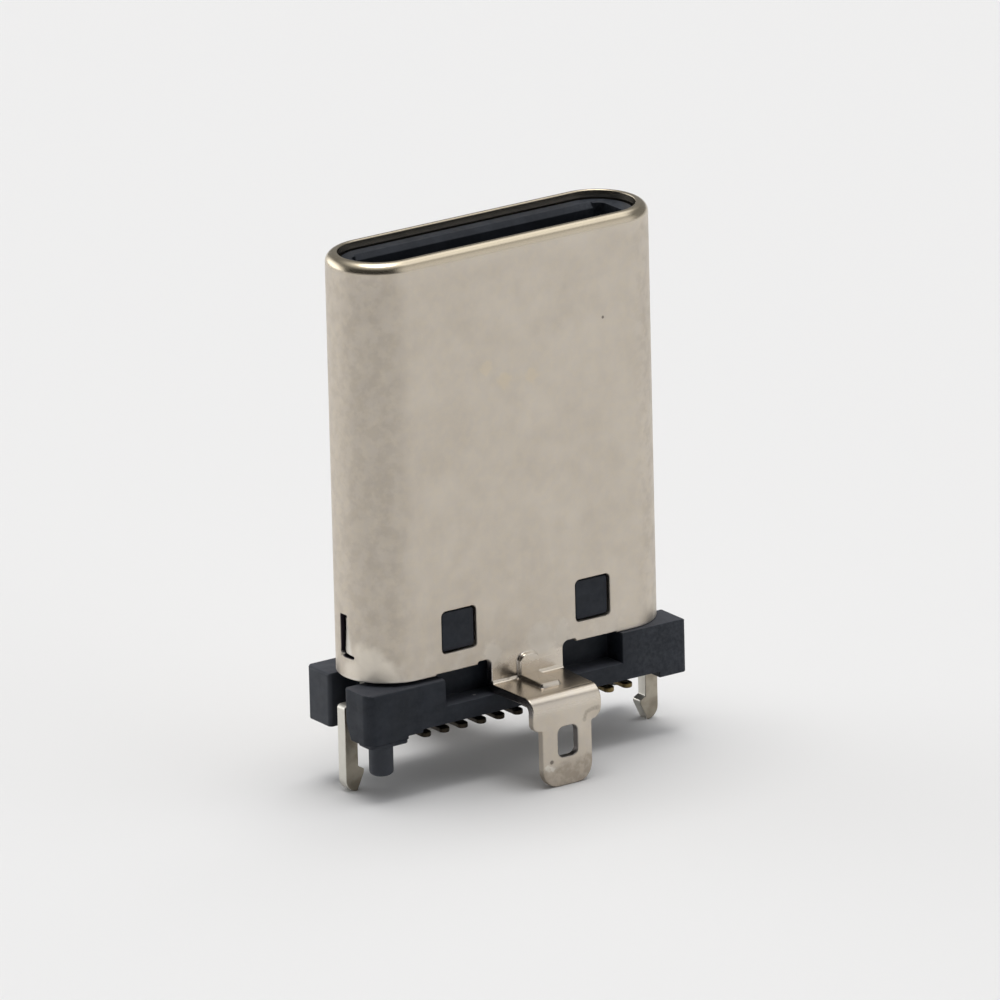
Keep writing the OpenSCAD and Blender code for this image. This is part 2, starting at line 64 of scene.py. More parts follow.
# %% [markdown]
# ## Camera
# A long lens far away keeps the upright edges of so small a part almost parallel. The angles were
# found by fitting the part's known sizes to the picture. A lens shift could place the part in the
# frame, but turning the camera a little does the same with a plain lens.

# %% Camera
FRAME_PIXELS = 1000
SENSOR = 36.0
FOCAL_PIXELS = 15539.0
DISTANCE = 349.7 * MM
NEAREST = 0.01
TURN, RAISE, ROLL = (math.radians(a) for a in (34.127, 18.535, 1.4005))
AIM = Vector((0, 0, 1.37 * MM))
AIM_TO_CENTRE = (2.98, 141.03)

right = Vector((math.cos(TURN), -math.sin(TURN), 0))
back = Vector((
    -math.sin(TURN) * math.cos(RAISE),
    -math.cos(TURN) * math.cos(RAISE),
    math.sin(RAISE),
))
up = back.cross(right)
tilted_right = right * math.cos(ROLL) - up * math.sin(ROLL)
tilted_up = right * math.sin(ROLL) + up * math.cos(ROLL)
look = tilted_right * AIM_TO_CENTRE[0] + tilted_up * AIM_TO_CENTRE[1] - back * FOCAL_PIXELS
cam_back = -look.normalized()
cam_right = (tilted_right - cam_back * tilted_right.dot(cam_back)).normalized()
cam_up = cam_back.cross(cam_right)

camera = bpy.data.objects.new("camera", bpy.data.cameras.new("camera"))
bpy.context.scene.collection.objects.link(camera)
camera.data.sensor_width = SENSOR
camera.data.lens = SENSOR * FOCAL_PIXELS / FRAME_PIXELS
camera.data.clip_start = NEAREST
camera.matrix_world = Matrix.Translation(AIM + back * DISTANCE) @ Matrix(
    (cam_right, cam_up, cam_back)
).transposed().to_4x4()
bpy.context.scene.camera = camera
print("lens in mm:", round(camera.data.lens, 1))

# %% [markdown]
# ## Node helpers
# Every finish is a small node tree, and so is the light. Joining nodes one by one takes many lines,
# so a first helper adds a node, feeds its inputs and does the sums. An input takes a number or the
# output of another node.


# %% Node tree helper
class NodeTree:
    def __init__(self, tree):
        self.tree = tree

    def add(self, kind, **fields):
        node = self.tree.nodes.new(kind)
        for name, value in fields.items():
            setattr(node, name, value)
        return node

    def feed(self, socket, value):
        if isinstance(value, bpy.types.NodeSocket):
            self.tree.links.new(value, socket)
        else:
            socket.default_value = value

    def math(self, operation, first, second):
        step = self.add("ShaderNodeMath", operation=operation)
        self.feed(step.inputs[0], first)
        self.feed(step.inputs[1], second)
        return step.outputs[0]

    def times(self, first, second):
        return self.math("MULTIPLY", first, second)

    def measure(self, operation, vector, other):
        """A distance or dot product of two vectors."""
        step = self.add("ShaderNodeVectorMath", operation=operation)
        self.feed(step.inputs[0], vector)
        self.feed(step.inputs[1], other)
        return step.outputs["Value"]

    def part(self, vector, letter):
        parts = self.add("ShaderNodeSeparateXYZ")
        self.feed(parts.inputs[0], vector)
        return parts.outputs[letter]

    def spread(self, value, low, high, to_low=0.0, to_high=1.0):
        """Eases from to_low to to_high while the value goes from low to high."""
        ranger = self.add("ShaderNodeMapRange", interpolation_type="SMOOTHSTEP")
        for index, entry in enumerate((value, low, high, to_low, to_high)):
            self.feed(ranger.inputs[index], entry)
        return ranger.outputs[0]


print("node tree helper ready")

# %% [markdown]
# A second helper starts a material and gives it patterns: noise, heights, the way a face lies, and
# marks stored on the mesh. Patterns could use a UV map, but these pieces have none. They are
# measured on the object's own coordinates, in millimetres, so that they stay on the piece.


# %% Pattern helper
class PatternTree(NodeTree):
    def __init__(self, name):
        self.material = bpy.data.materials.new(name)
        self.material.use_nodes = True
        super().__init__(self.material.node_tree)
        self.shader = self.tree.nodes["Principled BSDF"]
        coordinates = self.add("ShaderNodeTexCoord")
        self.place = self.scaled(coordinates.outputs["Object"], (1 / MM,) * 3)

    def set(self, **values):
        for name, value in values.items():
            self.feed(self.shader.inputs[name.replace("_", " ")], value)

    def scaled(self, vector, scale, shift=(0, 0, 0)):
        mapping = self.add("ShaderNodeMapping")
        mapping.inputs["Scale"].default_value = scale
        mapping.inputs["Location"].default_value = shift
        self.feed(mapping.inputs["Vector"], vector)
        return mapping.outputs["Vector"]

    def noise(self, scale, detail, stretch=(1, 1, 1), shift=(0, 0, 0), rough=0.5):
        texture = self.add("ShaderNodeTexNoise")
        self.feed(texture.inputs["Vector"], self.scaled(self.place, stretch, shift))
        texture.inputs["Scale"].default_value = scale
        texture.inputs["Detail"].default_value = detail
        texture.inputs["Roughness"].default_value = rough
        return texture.outputs["Fac"]

    def axis(self, letter):
        return self.part(self.place, letter)

    def upward(self):
        return self.part(self.add("ShaderNodeNewGeometry").outputs["Normal"], "Z")

    def attribute(self, name):
        return self.add("ShaderNodeAttribute", attribute_name=name).outputs["Fac"]


print("pattern helper ready")

# %% [markdown]
# The third helper turns patterns into a finish. A spot is a ragged round patch, a blend lays one
# colour over another by a share, and bump tilts the shading without moving the surface. Real relief
# would need millions of faces for scores that are far thinner than a hair.

# %% Finish helper
SPOT_CORE = 0.45


class Finish(PatternTree):
    def spot(self, centre, reach, ragged, scale=6.0):
        """One at the centre, falling to nothing at a ragged edge."""
        wobble = self.math("SUBTRACT", self.noise(scale, 4.0), 0.5)
        distance = self.measure("DISTANCE", self.place, centre)
        distance = self.math("ADD", distance, self.times(wobble, ragged))
        return self.spread(distance, reach * SPOT_CORE, reach, 1.0, 0.0)

    def patch(self, places, ragged, scale, share=0.0):
        """Several spots that run into one another."""
        for centre, reach in places:
            share = self.math("MAXIMUM", share, self.spot(centre, reach, ragged, scale))
        return share

    def blend(self, share, first, second):
        mixer = self.add("ShaderNodeMix", data_type="RGBA")
        self.feed(mixer.inputs[0], share)
        for socket, colour in ((mixer.inputs[6], first), (mixer.inputs[7], second)):
            given = isinstance(colour, bpy.types.NodeSocket)
            self.feed(socket, colour if given else (*colour, 1.0))
        return mixer.outputs[2]

    def bump(self, height, depth, strength, under=None):
        relief = self.add("ShaderNodeBump")
        self.feed(relief.inputs["Strength"], strength)
        relief.inputs["Distance"].default_value = depth * MM
        self.feed(relief.inputs["Height"], height)
        if under is not None:
            self.feed(relief.inputs["Normal"], under)
        return relief.outputs["Normal"]


print("finish helper ready")

# %% [markdown]
# ## Satin nickel
# The shell is drawn from sheet and plated with nickel, a warm metal whose brightness is mostly what it
# mirrors. One flat colour would look like plastic, so slow noise tints it in clouds, and a slow drift
# paints it a little lighter towards +X as painted light. Fine noise mottles it, and the round ends are
# a little darker in blotches, partly as wear where they were worked hardest and partly as painted
# shade.

# %% Colour of the plated sheet
NICKEL_SHADE, NICKEL_LIGHT = (0.590, 0.533, 0.462), (0.634, 0.576, 0.502)
NICKEL_STRAW, NICKEL_WORN_AND_SHADE = (0.72, 0.63, 0.47), (0.36, 0.31, 0.25)


def plated_tint(finish):
    # Painted light: the tint is made a little lighter towards +X.
    painted_light_drift = finish.times(finish.axis("X"), 0.035)
    cloud = finish.math("ADD", finish.noise(0.7, 3.0), painted_light_drift)
    tint = finish.blend(finish.spread(cloud, 0.33, 0.67), NICKEL_SHADE, NICKEL_LIGHT)
    mottle = finish.noise(5.0, 5.0, shift=(3.1, 0, 0), rough=0.65)
    mottle = finish.spread(mottle, 0.35, 0.68)
    tint = finish.blend(finish.times(mottle, 0.22), tint, NICKEL_STRAW)
    # The round ends are darker in blotches, partly wear and partly painted shade.
    bend = finish.spread(finish.math("ABSOLUTE", finish.axis("X"), 0.0), 2.9, 3.5)
    worn = finish.noise(3.4, 5.0, shift=(0, 0, 9.1), rough=0.6)
    worn = finish.times(bend, finish.spread(worn, 0.42, 0.62))
    return finish.blend(finish.times(worn, 0.20), tint, NICKEL_WORN_AND_SHADE)


print("plated sheet from", NICKEL_SHADE, "to", NICKEL_LIGHT)

# %% [markdown]
# Handling leaves marks: straw stains, bright chips and dark specks. Painted shade darkens a patch
# beside the bead and a line along the crease across a bent shoulder, and the front leg is made darker
# towards its lower end. Most of them are ragged spots with a centre and a reach. An image would be
# quicker to paint, but spots need no file.

# %% Places of the marks
STAINS = [((-0.90, -1.2, 8.29), 0.20), ((-0.43, -1.2, 7.92), 0.26), ((0.30, -1.2, 7.89), 0.22)]
# A dark patch beside the bead, low at the fold: painted shade.
SHADE_BESIDE_BEAD = [((-0.59, -1.2, 1.10), 0.22)]
CHIPS = [((-0.55, -2.74, -0.80), 0.10), ((-0.44, -2.74, -0.86), 0.08)]
SPECKS = [
    ((2.26, -1.2, 8.86), 0.045),
    ((-0.21, -1.29, 1.39), 0.075),
    ((-0.45, -2.74, -0.69), 0.07),
]
MARKS = [
    (STAINS, (0.74, 0.63, 0.45), 0.32, 0.35),
    (SHADE_BESIDE_BEAD, (0.22, 0.18, 0.145), 0.60, 0.40),
    (CHIPS, (0.85, 0.84, 0.79), 0.45, 0.25),
    (SPECKS, (0.10, 0.08, 0.07), 0.75, 0.05),
]
# The crease marks are a dark line of painted shade along the fold of the bent shoulder.
CREASE_Y, CREASE_REACH = -2.73, 0.075
CREASE_SHADE_LINE = [
    (0.83, 0.36), (0.75, 0.36), (0.67, 0.35), (0.59, 0.33), (0.52, 0.30), (0.48, 0.23), (0.46, 0.15),
]
CREASE_SHADE_TINT, LOW_LEG_TINT = (0.30, 0.26, 0.215), (0.37, 0.315, 0.255)
print("marks:", sum(len(places) for places, *_ in MARKS) + len(CREASE_SHADE_LINE))

# %% [markdown]
# The darkening of the leg has no centre. It ends at a ragged height, so noise is added to the height
# that it is measured by. All marks and the painted shade are then laid over the plated colour, one
# after the other.


# %% Marks and painted shade
def leg_darkening(finish):
    """Darker towards the lower end of the front leg, with a ragged upper limit."""
    level = finish.times(finish.noise(3.2, 5.0, rough=0.6), 0.55)
    level = finish.math("ADD", level, finish.axis("Z"))
    level = finish.math("SUBTRACT", level, finish.times(finish.axis("X"), 0.14))
    share = finish.spread(level, -0.60, -0.40, 0.75, 0.0)
    blotch = finish.spread(finish.noise(6.0, 4.0, shift=(0, 0, 2.2)), 0.35, 0.6, 0.45, 1.0)
    front = finish.spread(finish.axis("Y"), -2.6, -2.3, 1.0, 0.0)
    return finish.times(finish.times(share, blotch), front)


# Lays the marks and the painted shade over the tint.
def marks_and_shade(finish, tint):
    for places, colour, share, ragged in MARKS:
        for centre, reach in places:
            mark = finish.spot(centre, reach, ragged, 2.0 / reach ** 0.7)
            tint = finish.blend(finish.times(mark, share), tint, colour)
    for x, z in CREASE_SHADE_LINE:
        mark = finish.times(finish.spot((x, CREASE_Y, z), CREASE_REACH, 0.05), 0.4)
        tint = finish.blend(mark, tint, CREASE_SHADE_TINT)
    return finish.blend(leg_darkening(finish), tint, LOW_LEG_TINT)


print("dirt and marks ready")

# %% [markdown]
# A pale haze lies on the wall over the tab. The lip is tinted warmer and darker, a painted tone for
# its highlight. The flap and the lower edge of the round end get a painted highlight, and cut edges
# are dark, with painted shade on the tab's edges, in the flap's slit and along the bead's foot. Each
# edge could have a material of its own, but the change would then be a hard line. So the finish reads
# heights, and three marks that the shell's mesh will carry.

# %% Haze and edges
HAZE = [((0.35, -1.2, 1.60), 0.55), ((-0.95, -1.2, 1.6), 0.35), ((0.95, -1.2, 1.65), 0.35)]
LIP_HIGHLIGHT_TINT, FLAP_GLINT_TINT = (0.57, 0.49, 0.355), (0.84, 0.815, 0.765)
CUT_TINT, EDGE_SHADE_TINT, SLIT_SHADE_TINT = (0.30, 0.28, 0.27), (0.11, 0.10, 0.105), (0.025, 0.02, 0.028)


def haze_share(finish):
    low = finish.spread(finish.axis("Z"), 1.3, 2.5, 0.7, 0.0)
    cloud = finish.spread(finish.noise(1.9, 5.0, shift=(0, 0, 5.3)), 0.42, 0.70)
    share = finish.patch(HAZE, 0.5, 3.5, finish.times(low, cloud))
    return finish.times(share, finish.spread(finish.axis("Z"), 1.1, 1.45))


def edged(finish, tint):
    """The lip's painted highlight tone, the painted highlight on the flap and the lower edge, and the
    cut edges with their painted shade.
    """
    # The lip is tinted warmer and darker: a painted tone for its highlight.
    lip = finish.spread(finish.axis("Z"), 10.86, 11.02, 0.0, 0.75)
    tint = finish.blend(lip, tint, LIP_HIGHLIGHT_TINT)
    # The flap and the lower edge of the round end get a painted highlight.
    tint = finish.blend(finish.times(finish.attribute("glint"), 0.65), tint, FLAP_GLINT_TINT)
    cut = finish.attribute("cut_shade")
    tint = finish.blend(finish.spread(cut, 0.0, 0.6, 0.0, 0.85), tint, CUT_TINT)
    # Darker tab edges and the near-black slit are painted shade.
    tint = finish.blend(finish.spread(cut, 0.6, 1.0), tint, EDGE_SHADE_TINT)
    return finish.blend(finish.spread(cut, 1.2, 2.0), tint, SLIT_SHADE_TINT)


print("patches of haze:", len(HAZE))

# %% [markdown]
# The nickel is then put together, with one more patch on a round end that is rubbed smoother and
# painted lighter as a painted reflection. Drawn metal at the bends is smoother than the flat, so the
# roughness drops and the fine scores fade there. The haze is dull dirt on the metal, so it also takes
# away some of the mirror.

# %% Satin nickel
RUB_AND_SHEEN = [((-3.93, -0.66, 1.90), 0.50), ((-3.75, -0.88, 1.52), 0.62), ((-4.05, -0.40, 1.50), 0.55)]
HAZE_TINT, SHEEN_TINT = (0.92, 0.86, 0.77), (0.86, 0.80, 0.70)


def make_nickel():
    finish = Finish("satin_nickel")
    haze, rub_and_sheen = haze_share(finish), finish.patch(RUB_AND_SHEEN, 0.4, 3.0)
    tint = finish.blend(finish.times(haze, 0.6), plated_tint(finish), HAZE_TINT)
    # The round-end patch is painted lighter as a painted reflection, and it is also made smoother.
    tint = finish.blend(finish.times(rub_and_sheen, 0.58), tint, SHEEN_TINT)
    tint = edged(finish, marks_and_shade(finish, tint))
    drawn = finish.attribute("drawn")
    roughness = finish.spread(finish.noise(3.0, 4.0), 0.3, 0.7, 0.43, 0.51)
    roughness = finish.spread(drawn, 0.0, 1.0, roughness, 0.26)
    roughness = finish.math("ADD", roughness, finish.times(haze, 0.2))
    roughness = finish.math("SUBTRACT", roughness, finish.times(rub_and_sheen, 0.05))
    streak = finish.noise(9.0, 2.0, stretch=(1, 1, 0.06))
    grain = finish.noise(16.0, 4.0, stretch=(1, 1, 0.6), rough=0.6)
    relief = finish.bump(streak, 0.0015, finish.spread(drawn, 0.0, 1.0, 0.5, 0.0))
    relief = finish.bump(grain, 0.003, finish.spread(drawn, 0.0, 0.35, 0.45, 0.0), relief)
    metal = finish.spread(haze, 0.0, 1.0, 1.0, 0.5)
    finish.set(Base_Color=tint, Metallic=metal, Roughness=roughness, Normal=relief)
    return finish.material


nickel = make_nickel()
print("made", nickel.name, "with", len(nickel.node_tree.nodes), "nodes")

# %% [markdown]
# ## Black moulding
# The mouldings are a heat-proof black plastic with a dull skin. Pure black would swallow every shape,
# so the base is a dark, slightly blue grey in slow flow lines, with frosted grain at one end and a
# little dust. A pale patch of painted light lies on the left end, the lowest faces are paler, and
# faces that lie flat are painted lighter, as if lit from above.

# %% Black moulding
RESIN_DARK, RESIN_LIGHT = (0.0125, 0.016, 0.023), (0.0205, 0.025, 0.0345)
DUST_TINT, PALE_LIGHT_TINT, FROST_TINT = (0.045, 0.045, 0.047), (0.064, 0.070, 0.083), (0.069, 0.077, 0.092)
TOP_LIGHT_TINT, CRUMB_TINT = (0.095, 0.100, 0.118), (0.35, 0.35, 0.34)
LEFT_LIGHT_PLACE, CRUMB_PLACE = (-4.35, 0.9, 0.75), (-1.356, -1.044, 0.66)


def make_moulding():
    finish = Finish("black_moulding")
    flow = finish.spread(finish.noise(1.6, 4.0, stretch=(1, 1, 1.6)), 0.35, 0.7)
    tint = finish.blend(flow, RESIN_DARK, RESIN_LIGHT)
    dust = finish.spread(finish.noise(9.0, 3.0, shift=(7, 2, 1)), 0.66, 0.80)
    tint = finish.blend(finish.times(dust, 0.25), tint, DUST_TINT)
    feet = finish.spread(finish.axis("Z"), -0.1, 0.15, 1.0, 0.0)
    # A pale patch of painted light on the left end, and paler lowest faces.
    pale_light_and_feet = finish.math("MAXIMUM", finish.spot(LEFT_LIGHT_PLACE, 1.1, 0.4, 2.0), feet)
    tint = finish.blend(finish.times(pale_light_and_feet, 0.5), tint, PALE_LIGHT_TINT)
    grain = finish.spread(finish.noise(10.0, 5.0, shift=(1.7, 0, 0), rough=0.7), 0.28, 0.74)
    frosted = finish.spread(finish.axis("X"), 2.4, 3.2, 0.10, 0.50)
    tint = finish.blend(finish.times(grain, frosted), tint, FROST_TINT)
    # Faces that lie flat are painted lighter, as if lit from above: painted light.
    lit_tops = finish.spread(finish.upward(), 0.6, 0.95)
    lit_tops = finish.times(lit_tops, finish.spread(finish.axis("Z"), 2.0, 2.2, 0.55, 0.0))
    tint = finish.blend(lit_tops, tint, TOP_LIGHT_TINT)
    tint = finish.blend(finish.spot(CRUMB_PLACE, 0.05, 0.03), tint, CRUMB_TINT)
    roughness = finish.spread(finish.noise(4.0, 3.0), 0.3, 0.7, 0.46, 0.60)
    relief = finish.bump(finish.noise(26.0, 3.0), 0.004, 0.6)
    finish.set(Base_Color=tint, Roughness=roughness, Normal=relief, Specular_IOR_Level=0.25)
    return finish.material


moulding = make_moulding()
print("made", moulding.name)

# %% [markdown]
# ## Stamped steel
# The latch plate and the ground springs are stamped from bare steel. Both share one recipe with slow
# clouds and a fine grain, and differ in colour and smoothness. A press leaves bright cut edges, so the
# latch plate's edges will be marked on its mesh and are tinted lighter here, partly as the bright cut
# and partly as a painted highlight on the sides.

# %% Stamped steel
STEEL_EDGE_SHEEN = (0.68, 0.66, 0.60)


def make_steel(name, dark, light, smooth, dull, grain):
    finish = Finish(name)
    cloud = finish.spread(finish.noise(2.2, 4.0), 0.35, 0.65)
    tint = finish.blend(cloud, dark, light)
    # Cut edges are tinted lighter: partly the bright cut and partly a painted highlight on the sides.
    tint = finish.blend(finish.attribute("edge"), tint, STEEL_EDGE_SHEEN)
    roughness = finish.spread(finish.noise(5.0, 3.0), 0.3, 0.7, smooth, dull)
    relief = finish.bump(finish.noise(18.0, 2.0, stretch=(1, 1, 0.15)), grain, 0.5)
    finish.set(Base_Color=tint, Metallic=1.0, Roughness=roughness, Normal=relief)
    return finish.material


latch_steel = make_steel(
    "latch_steel", (0.30, 0.265, 0.21), (0.43, 0.39, 0.32), smooth=0.36, dull=0.50, grain=0.0015)
spring_steel = make_steel(
    "spring_steel", (0.52, 0.50, 0.46), (0.62, 0.60, 0.56), smooth=0.30, dull=0.38, grain=0.0005)
print("made", latch_steel.name, spring_steel.name)

# %% [markdown]
# ## Gold
# The contacts have a thin layer of gold, and their tails, low under the base, are painted dark as
# painted shade. The tails could be pieces of their own, but a contact is one stamping, so its height
# sets the change. The painted shade is weaker towards one end of the row.

# %% Gold
GOLD_SHADE, GOLD_LIGHT = (0.34, 0.25, 0.10), (0.50, 0.37, 0.16)
TAIL_SHADE_DARK, TAIL_SHADE_BROWN = (0.011, 0.011, 0.013), (0.030, 0.025, 0.018)


def make_gold():
    finish = Finish("contact_gold")
    cloud = finish.spread(finish.noise(2.2, 4.0), 0.35, 0.65)
    tint = finish.blend(cloud, GOLD_SHADE, GOLD_LIGHT)
    # The tails are painted dark as painted shade, weaker towards one end of the row.
    tail = finish.spread(finish.axis("Z"), 0.1, 0.5, 0.95, 0.0)
    tail_shade_share = finish.times(tail, finish.spread(finish.axis("X"), -0.5, 2.4, 1.0, 0.6))
    tail_shade_tint = finish.blend(finish.spread(finish.axis("X"), 0.6, 2.2), TAIL_SHADE_DARK, TAIL_SHADE_BROWN)
    tint = finish.blend(tail_shade_share, tint, tail_shade_tint)
    roughness = finish.spread(finish.noise(5.0, 3.0), 0.3, 0.7, 0.36, 0.50)
    relief = finish.bump(finish.noise(18.0, 2.0), 0.0015, 0.5)
    finish.set(Base_Color=tint, Metallic=1.0, Roughness=roughness, Normal=relief)
    return finish.material


gold = make_gold()
print("made", gold.name)

# %% [markdown]
# ## Shell from a flat blank
# The real shell is sheet metal, so it is made here as sheet metal. A box with bevels could stand for
# it, but its bends and cut edges would never look pressed. A flat blank is outlined in two
# directions: s along the sheet, counted along the outer face from the middle of the front, and q up
# the sheet, which is the real height on the straight wall. Half of the shell is enough, because the
# other half is the same one turned round.

# %% Shell sizes
OUTER_R, END_X, WALL = 1.2, 2.925, 0.2
EDGE_Z, MOUTH_Z = 1.37, 11.15
LIP_R, LIP_IN = 0.25, 0.28
LIP_Z = MOUTH_Z - LIP_R
BEND_R, KNEE_R, SHELF_Z, LEG_Y, LEG_Z = 0.1, 0.34, 0.86, 2.74, -1.3
BEND_Z = SHELF_Z + BEND_R
HALF_ROUND = 2 * END_X + math.pi * OUTER_R
SEAM_S = -2.62
RIM_R = 0.03

bend_q = BEND_Z - BEND_R * math.pi / 2
knee_q = bend_q - (LEG_Y - KNEE_R - OUTER_R - BEND_R)
leg_q = knee_q - KNEE_R * math.pi / 2
top_q = LIP_Z + LIP_R * math.pi / 2 + LIP_IN - LIP_R


def leg_level(z):
    """Place on the blank of a height on the leg."""
    return leg_q - (SHELF_Z - KNEE_R - z)


print("blank height in mm:", round(top_q - leg_level(LEG_Z), 2))

# %% [markdown]
# Bending is a rule for every point of the blank. Along s the sheet runs round the flat oval of the
# shell. From the top down it rolls over at the lip, runs straight down the wall, folds out at the
# tab, crosses the shelf and turns down at the knee into the leg. Bend modifiers could do this one by
# one, but with one rule the wall keeps its thickness, because a point below the outer face is moved
# along the face's own direction.


# %% Along the sheet
def around(s):
    """Foot point and outward direction on the shell's outer outline."""
    if s <= END_X:
        return (-s, -OUTER_R), (0.0, -1.0)
    if s >= END_X + math.pi * OUTER_R:
        return (s - 2 * END_X - math.pi * OUTER_R, OUTER_R), (0.0, 1.0)
    turn = (s - END_X) / OUTER_R
    out = (-math.sin(turn), -math.cos(turn))
    return (-END_X + OUTER_R * out[0], OUTER_R * out[1]), out


print("half way round in mm:", round(HALF_ROUND, 2))


# %% Down the sheet
def down(q):
    """Step outwards, height, and the face's direction as (outwards, upwards)."""
    if q > LIP_Z:
        turn = min((q - LIP_Z) / LIP_R, math.pi / 2)
        flat = max(q - LIP_Z - LIP_R * math.pi / 2, 0.0)
        step = -LIP_R * (1 - math.cos(turn)) - flat
        return step, LIP_Z + LIP_R * math.sin(turn), (math.cos(turn), math.sin(turn))
    if q >= BEND_Z:
        return 0.0, q, (1.0, 0.0)
    if q >= bend_q:
        turn = (BEND_Z - q) / BEND_R
        step = BEND_R * (1 - math.cos(turn))
        return step, BEND_Z - BEND_R * math.sin(turn), (math.cos(turn), math.sin(turn))
    if q >= knee_q:
        return BEND_R + bend_q - q, SHELF_Z, (0.0, 1.0)
    reach = LEG_Y - KNEE_R - OUTER_R
    if q >= leg_q:
        turn = (knee_q - q) / KNEE_R
        step = reach + KNEE_R * math.sin(turn)
        return step, SHELF_Z - KNEE_R * (1 - math.cos(turn)), (math.sin(turn), math.cos(turn))
    return reach + KNEE_R, SHELF_Z - KNEE_R - (leg_q - q), (1.0, 0.0)


def bent(s, q, depth, worn):
    """The point of the sheet at (s, q), that far below its outer face."""
    (x, y), (out_x, out_y) = around(s)
    step, z, (lean, rise) = down(q)
    sink = depth - pressed(s, q, worn)
    outwards = step - lean * sink
    return (x + out_x * outwards, y + out_y * outwards, z - rise * sink)


print("leg stands", round(down(leg_q)[0], 2), "mm out from the wall")

# %% [markdown]
# ## Pressed bead and flap
# A bead with a flat top is pressed across the fold of each solder tab and stiffens it. Its upper end
# is rounder than its lower one. Sculpting could make it, but here it is a height over the flat blank,
# which the bending carries along. The height depends on how far a place lies from the bead's middle.

# %% Bead
BEAD_W, BEAD_H, BEAD_FLAT, BEAD_SAG = 0.6, 0.105, 0.77, 0.1
BEAD_RISE, BEAD_REACH = 0.6, 0.95
BEAD_TOP_Q, BEAD_END_Q = SHELF_Z + BEAD_RISE, bend_q - (BEAD_REACH - BEND_R)
BEAD_TOP_R, BEAD_END_R = 0.22, 0.1


def eased(value, low, high):
    share = min(max((value - low) / (high - low), 0.0), 1.0)
    return share * share * (3 - 2 * share)


def bead_share(s, q):
    """How far out a place lies from the bead's middle line: 1 at its foot."""
    middle = (BEAD_TOP_Q + BEAD_END_Q) / 2
    corner = BEAD_TOP_R if q > middle else BEAD_END_R
    over_s = abs(s) - BEAD_W / 2 + corner
    over_q = abs(q - middle) - (BEAD_TOP_Q - BEAD_END_Q) / 2 + corner
    outside = math.hypot(max(over_s, 0.0), max(over_q, 0.0))
    gap = outside + min(max(over_s, over_q), 0.0) - corner
    return 1 + gap / (BEAD_W / 2)


print("bead from", round(BEAD_END_Q, 3), "to", round(BEAD_TOP_Q, 3), "on the blank")

# %% [markdown]
# A flap at each round end is cut free on three sides and pushed inwards, so that it grips the
# moulding. It turns about a slanted line and goes deepest at its top. The front leg's right shoulder
# is also bent back a little, as on a part that has been handled. All three are one rule for the
# height of the sheet.

# %% Flap and pressed height
FLAP_S0, FLAP_S1 = 4.50, 4.960
FLAP_Q0, FLAP_Q1 = EDGE_Z + 0.5, EDGE_Z + 1.48
FLAP_PUSH, FLAP_LOW, FLAP_MORE, FLAP_LEAN = 0.16, 0.55, 0.45, 0.2
SLIT = 0.05
FOLD_S, FOLD_Z, FOLD_SLOPE, FOLD_EASE = -0.46, 0.36, 0.17, 0.24


def flap_hinge(q):
    """The slanted line along which the flap bends, and the share of its height there."""
    upwards = (q - FLAP_Q0) / (FLAP_Q1 - FLAP_Q0)
    return FLAP_S0 + FLAP_LEAN * upwards, upwards


def pressed(s, q, worn):
    """Height of the pressed shapes above the sheet's outer face."""
    away = bead_share(s, q)
    if away < 1:
        return BEAD_H * (1 - eased(away, BEAD_FLAT, 1.0)) * (1 - BEAD_SAG * away * away)
    hinge, upwards = flap_hinge(q)
    if hinge < s < FLAP_S1 - SLIT / 2 and FLAP_Q0 + SLIT / 2 < q < FLAP_Q1 - SLIT / 2:
        across = (s - hinge) / (FLAP_S1 - hinge)
        return -FLAP_PUSH * across * (FLAP_LOW + FLAP_MORE * upwards)
    if worn and q < leg_q:
        across, under = FOLD_S - s, leg_level(FOLD_Z) - q
        return -FOLD_SLOPE * max(across, 0.0) * eased(under, 0.0, FOLD_EASE)
    return 0.0


print("flap pushed in by", FLAP_PUSH, "mm, bead pressed out by", BEAD_H, "mm")

# %% [markdown]
# ## Outline of the blank
# The outline of the blank is walked once, as a cutting tool would go. Curve objects could draw it,
# but the fill and the rim need the same points again. So corners are given as points with a radius,
# and a helper turns each corner into an arc. An opening is a rectangle with four such corners.


# %% Round corners
def rounded(points, closed=True, steps=6):
    """Points as (s, q, radius) become a polyline with an arc at each corner."""
    path = []
    count = len(points)
    for index, (x, y, radius) in enumerate(points):
        if radius == 0 or (not closed and index in (0, count - 1)):
            path.append((x, y))
            continue
        here = np.array((x, y))
        before = np.array(points[index - 1][:2]) - here
        after = np.array(points[(index + 1) % count][:2]) - here
        before, after = before / np.linalg.norm(before), after / np.linalg.norm(after)
        half = math.acos(max(-1.0, min(1.0, float(before @ after)))) / 2
        hub = here + (before + after) / np.linalg.norm(before + after) * radius / math.sin(half)
        first = here + before * radius / math.tan(half) - hub
        last = here + after * radius / math.tan(half) - hub
        start = math.atan2(first[1], first[0])
        sweep = (math.atan2(last[1], last[0]) - start + math.pi) % (2 * math.pi) - math.pi
        for k in range(steps + 1):
            angle = start + sweep * k / steps
            path.append((hub[0] + radius * math.cos(angle), hub[1] + radius * math.sin(angle)))
    return path


def rectangle(s, q, width, height, radius):
    """A closed opening, walked clockwise so that the sheet lies on its left."""
    w, h = width / 2, height / 2
    corners = ((-w, -h), (-w, h), (w, h), (w, -h))
    return rounded([(s + a, q + b, radius) for a, b in corners])


print("corner helpers ready")

# %% [markdown]
# Two more helpers work on a finished path. One adds a point wherever the path crosses a line on the
# blank, because the sheet will bend along those lines. The other moves a path into the sheet, which
# makes room for the rounded rim.


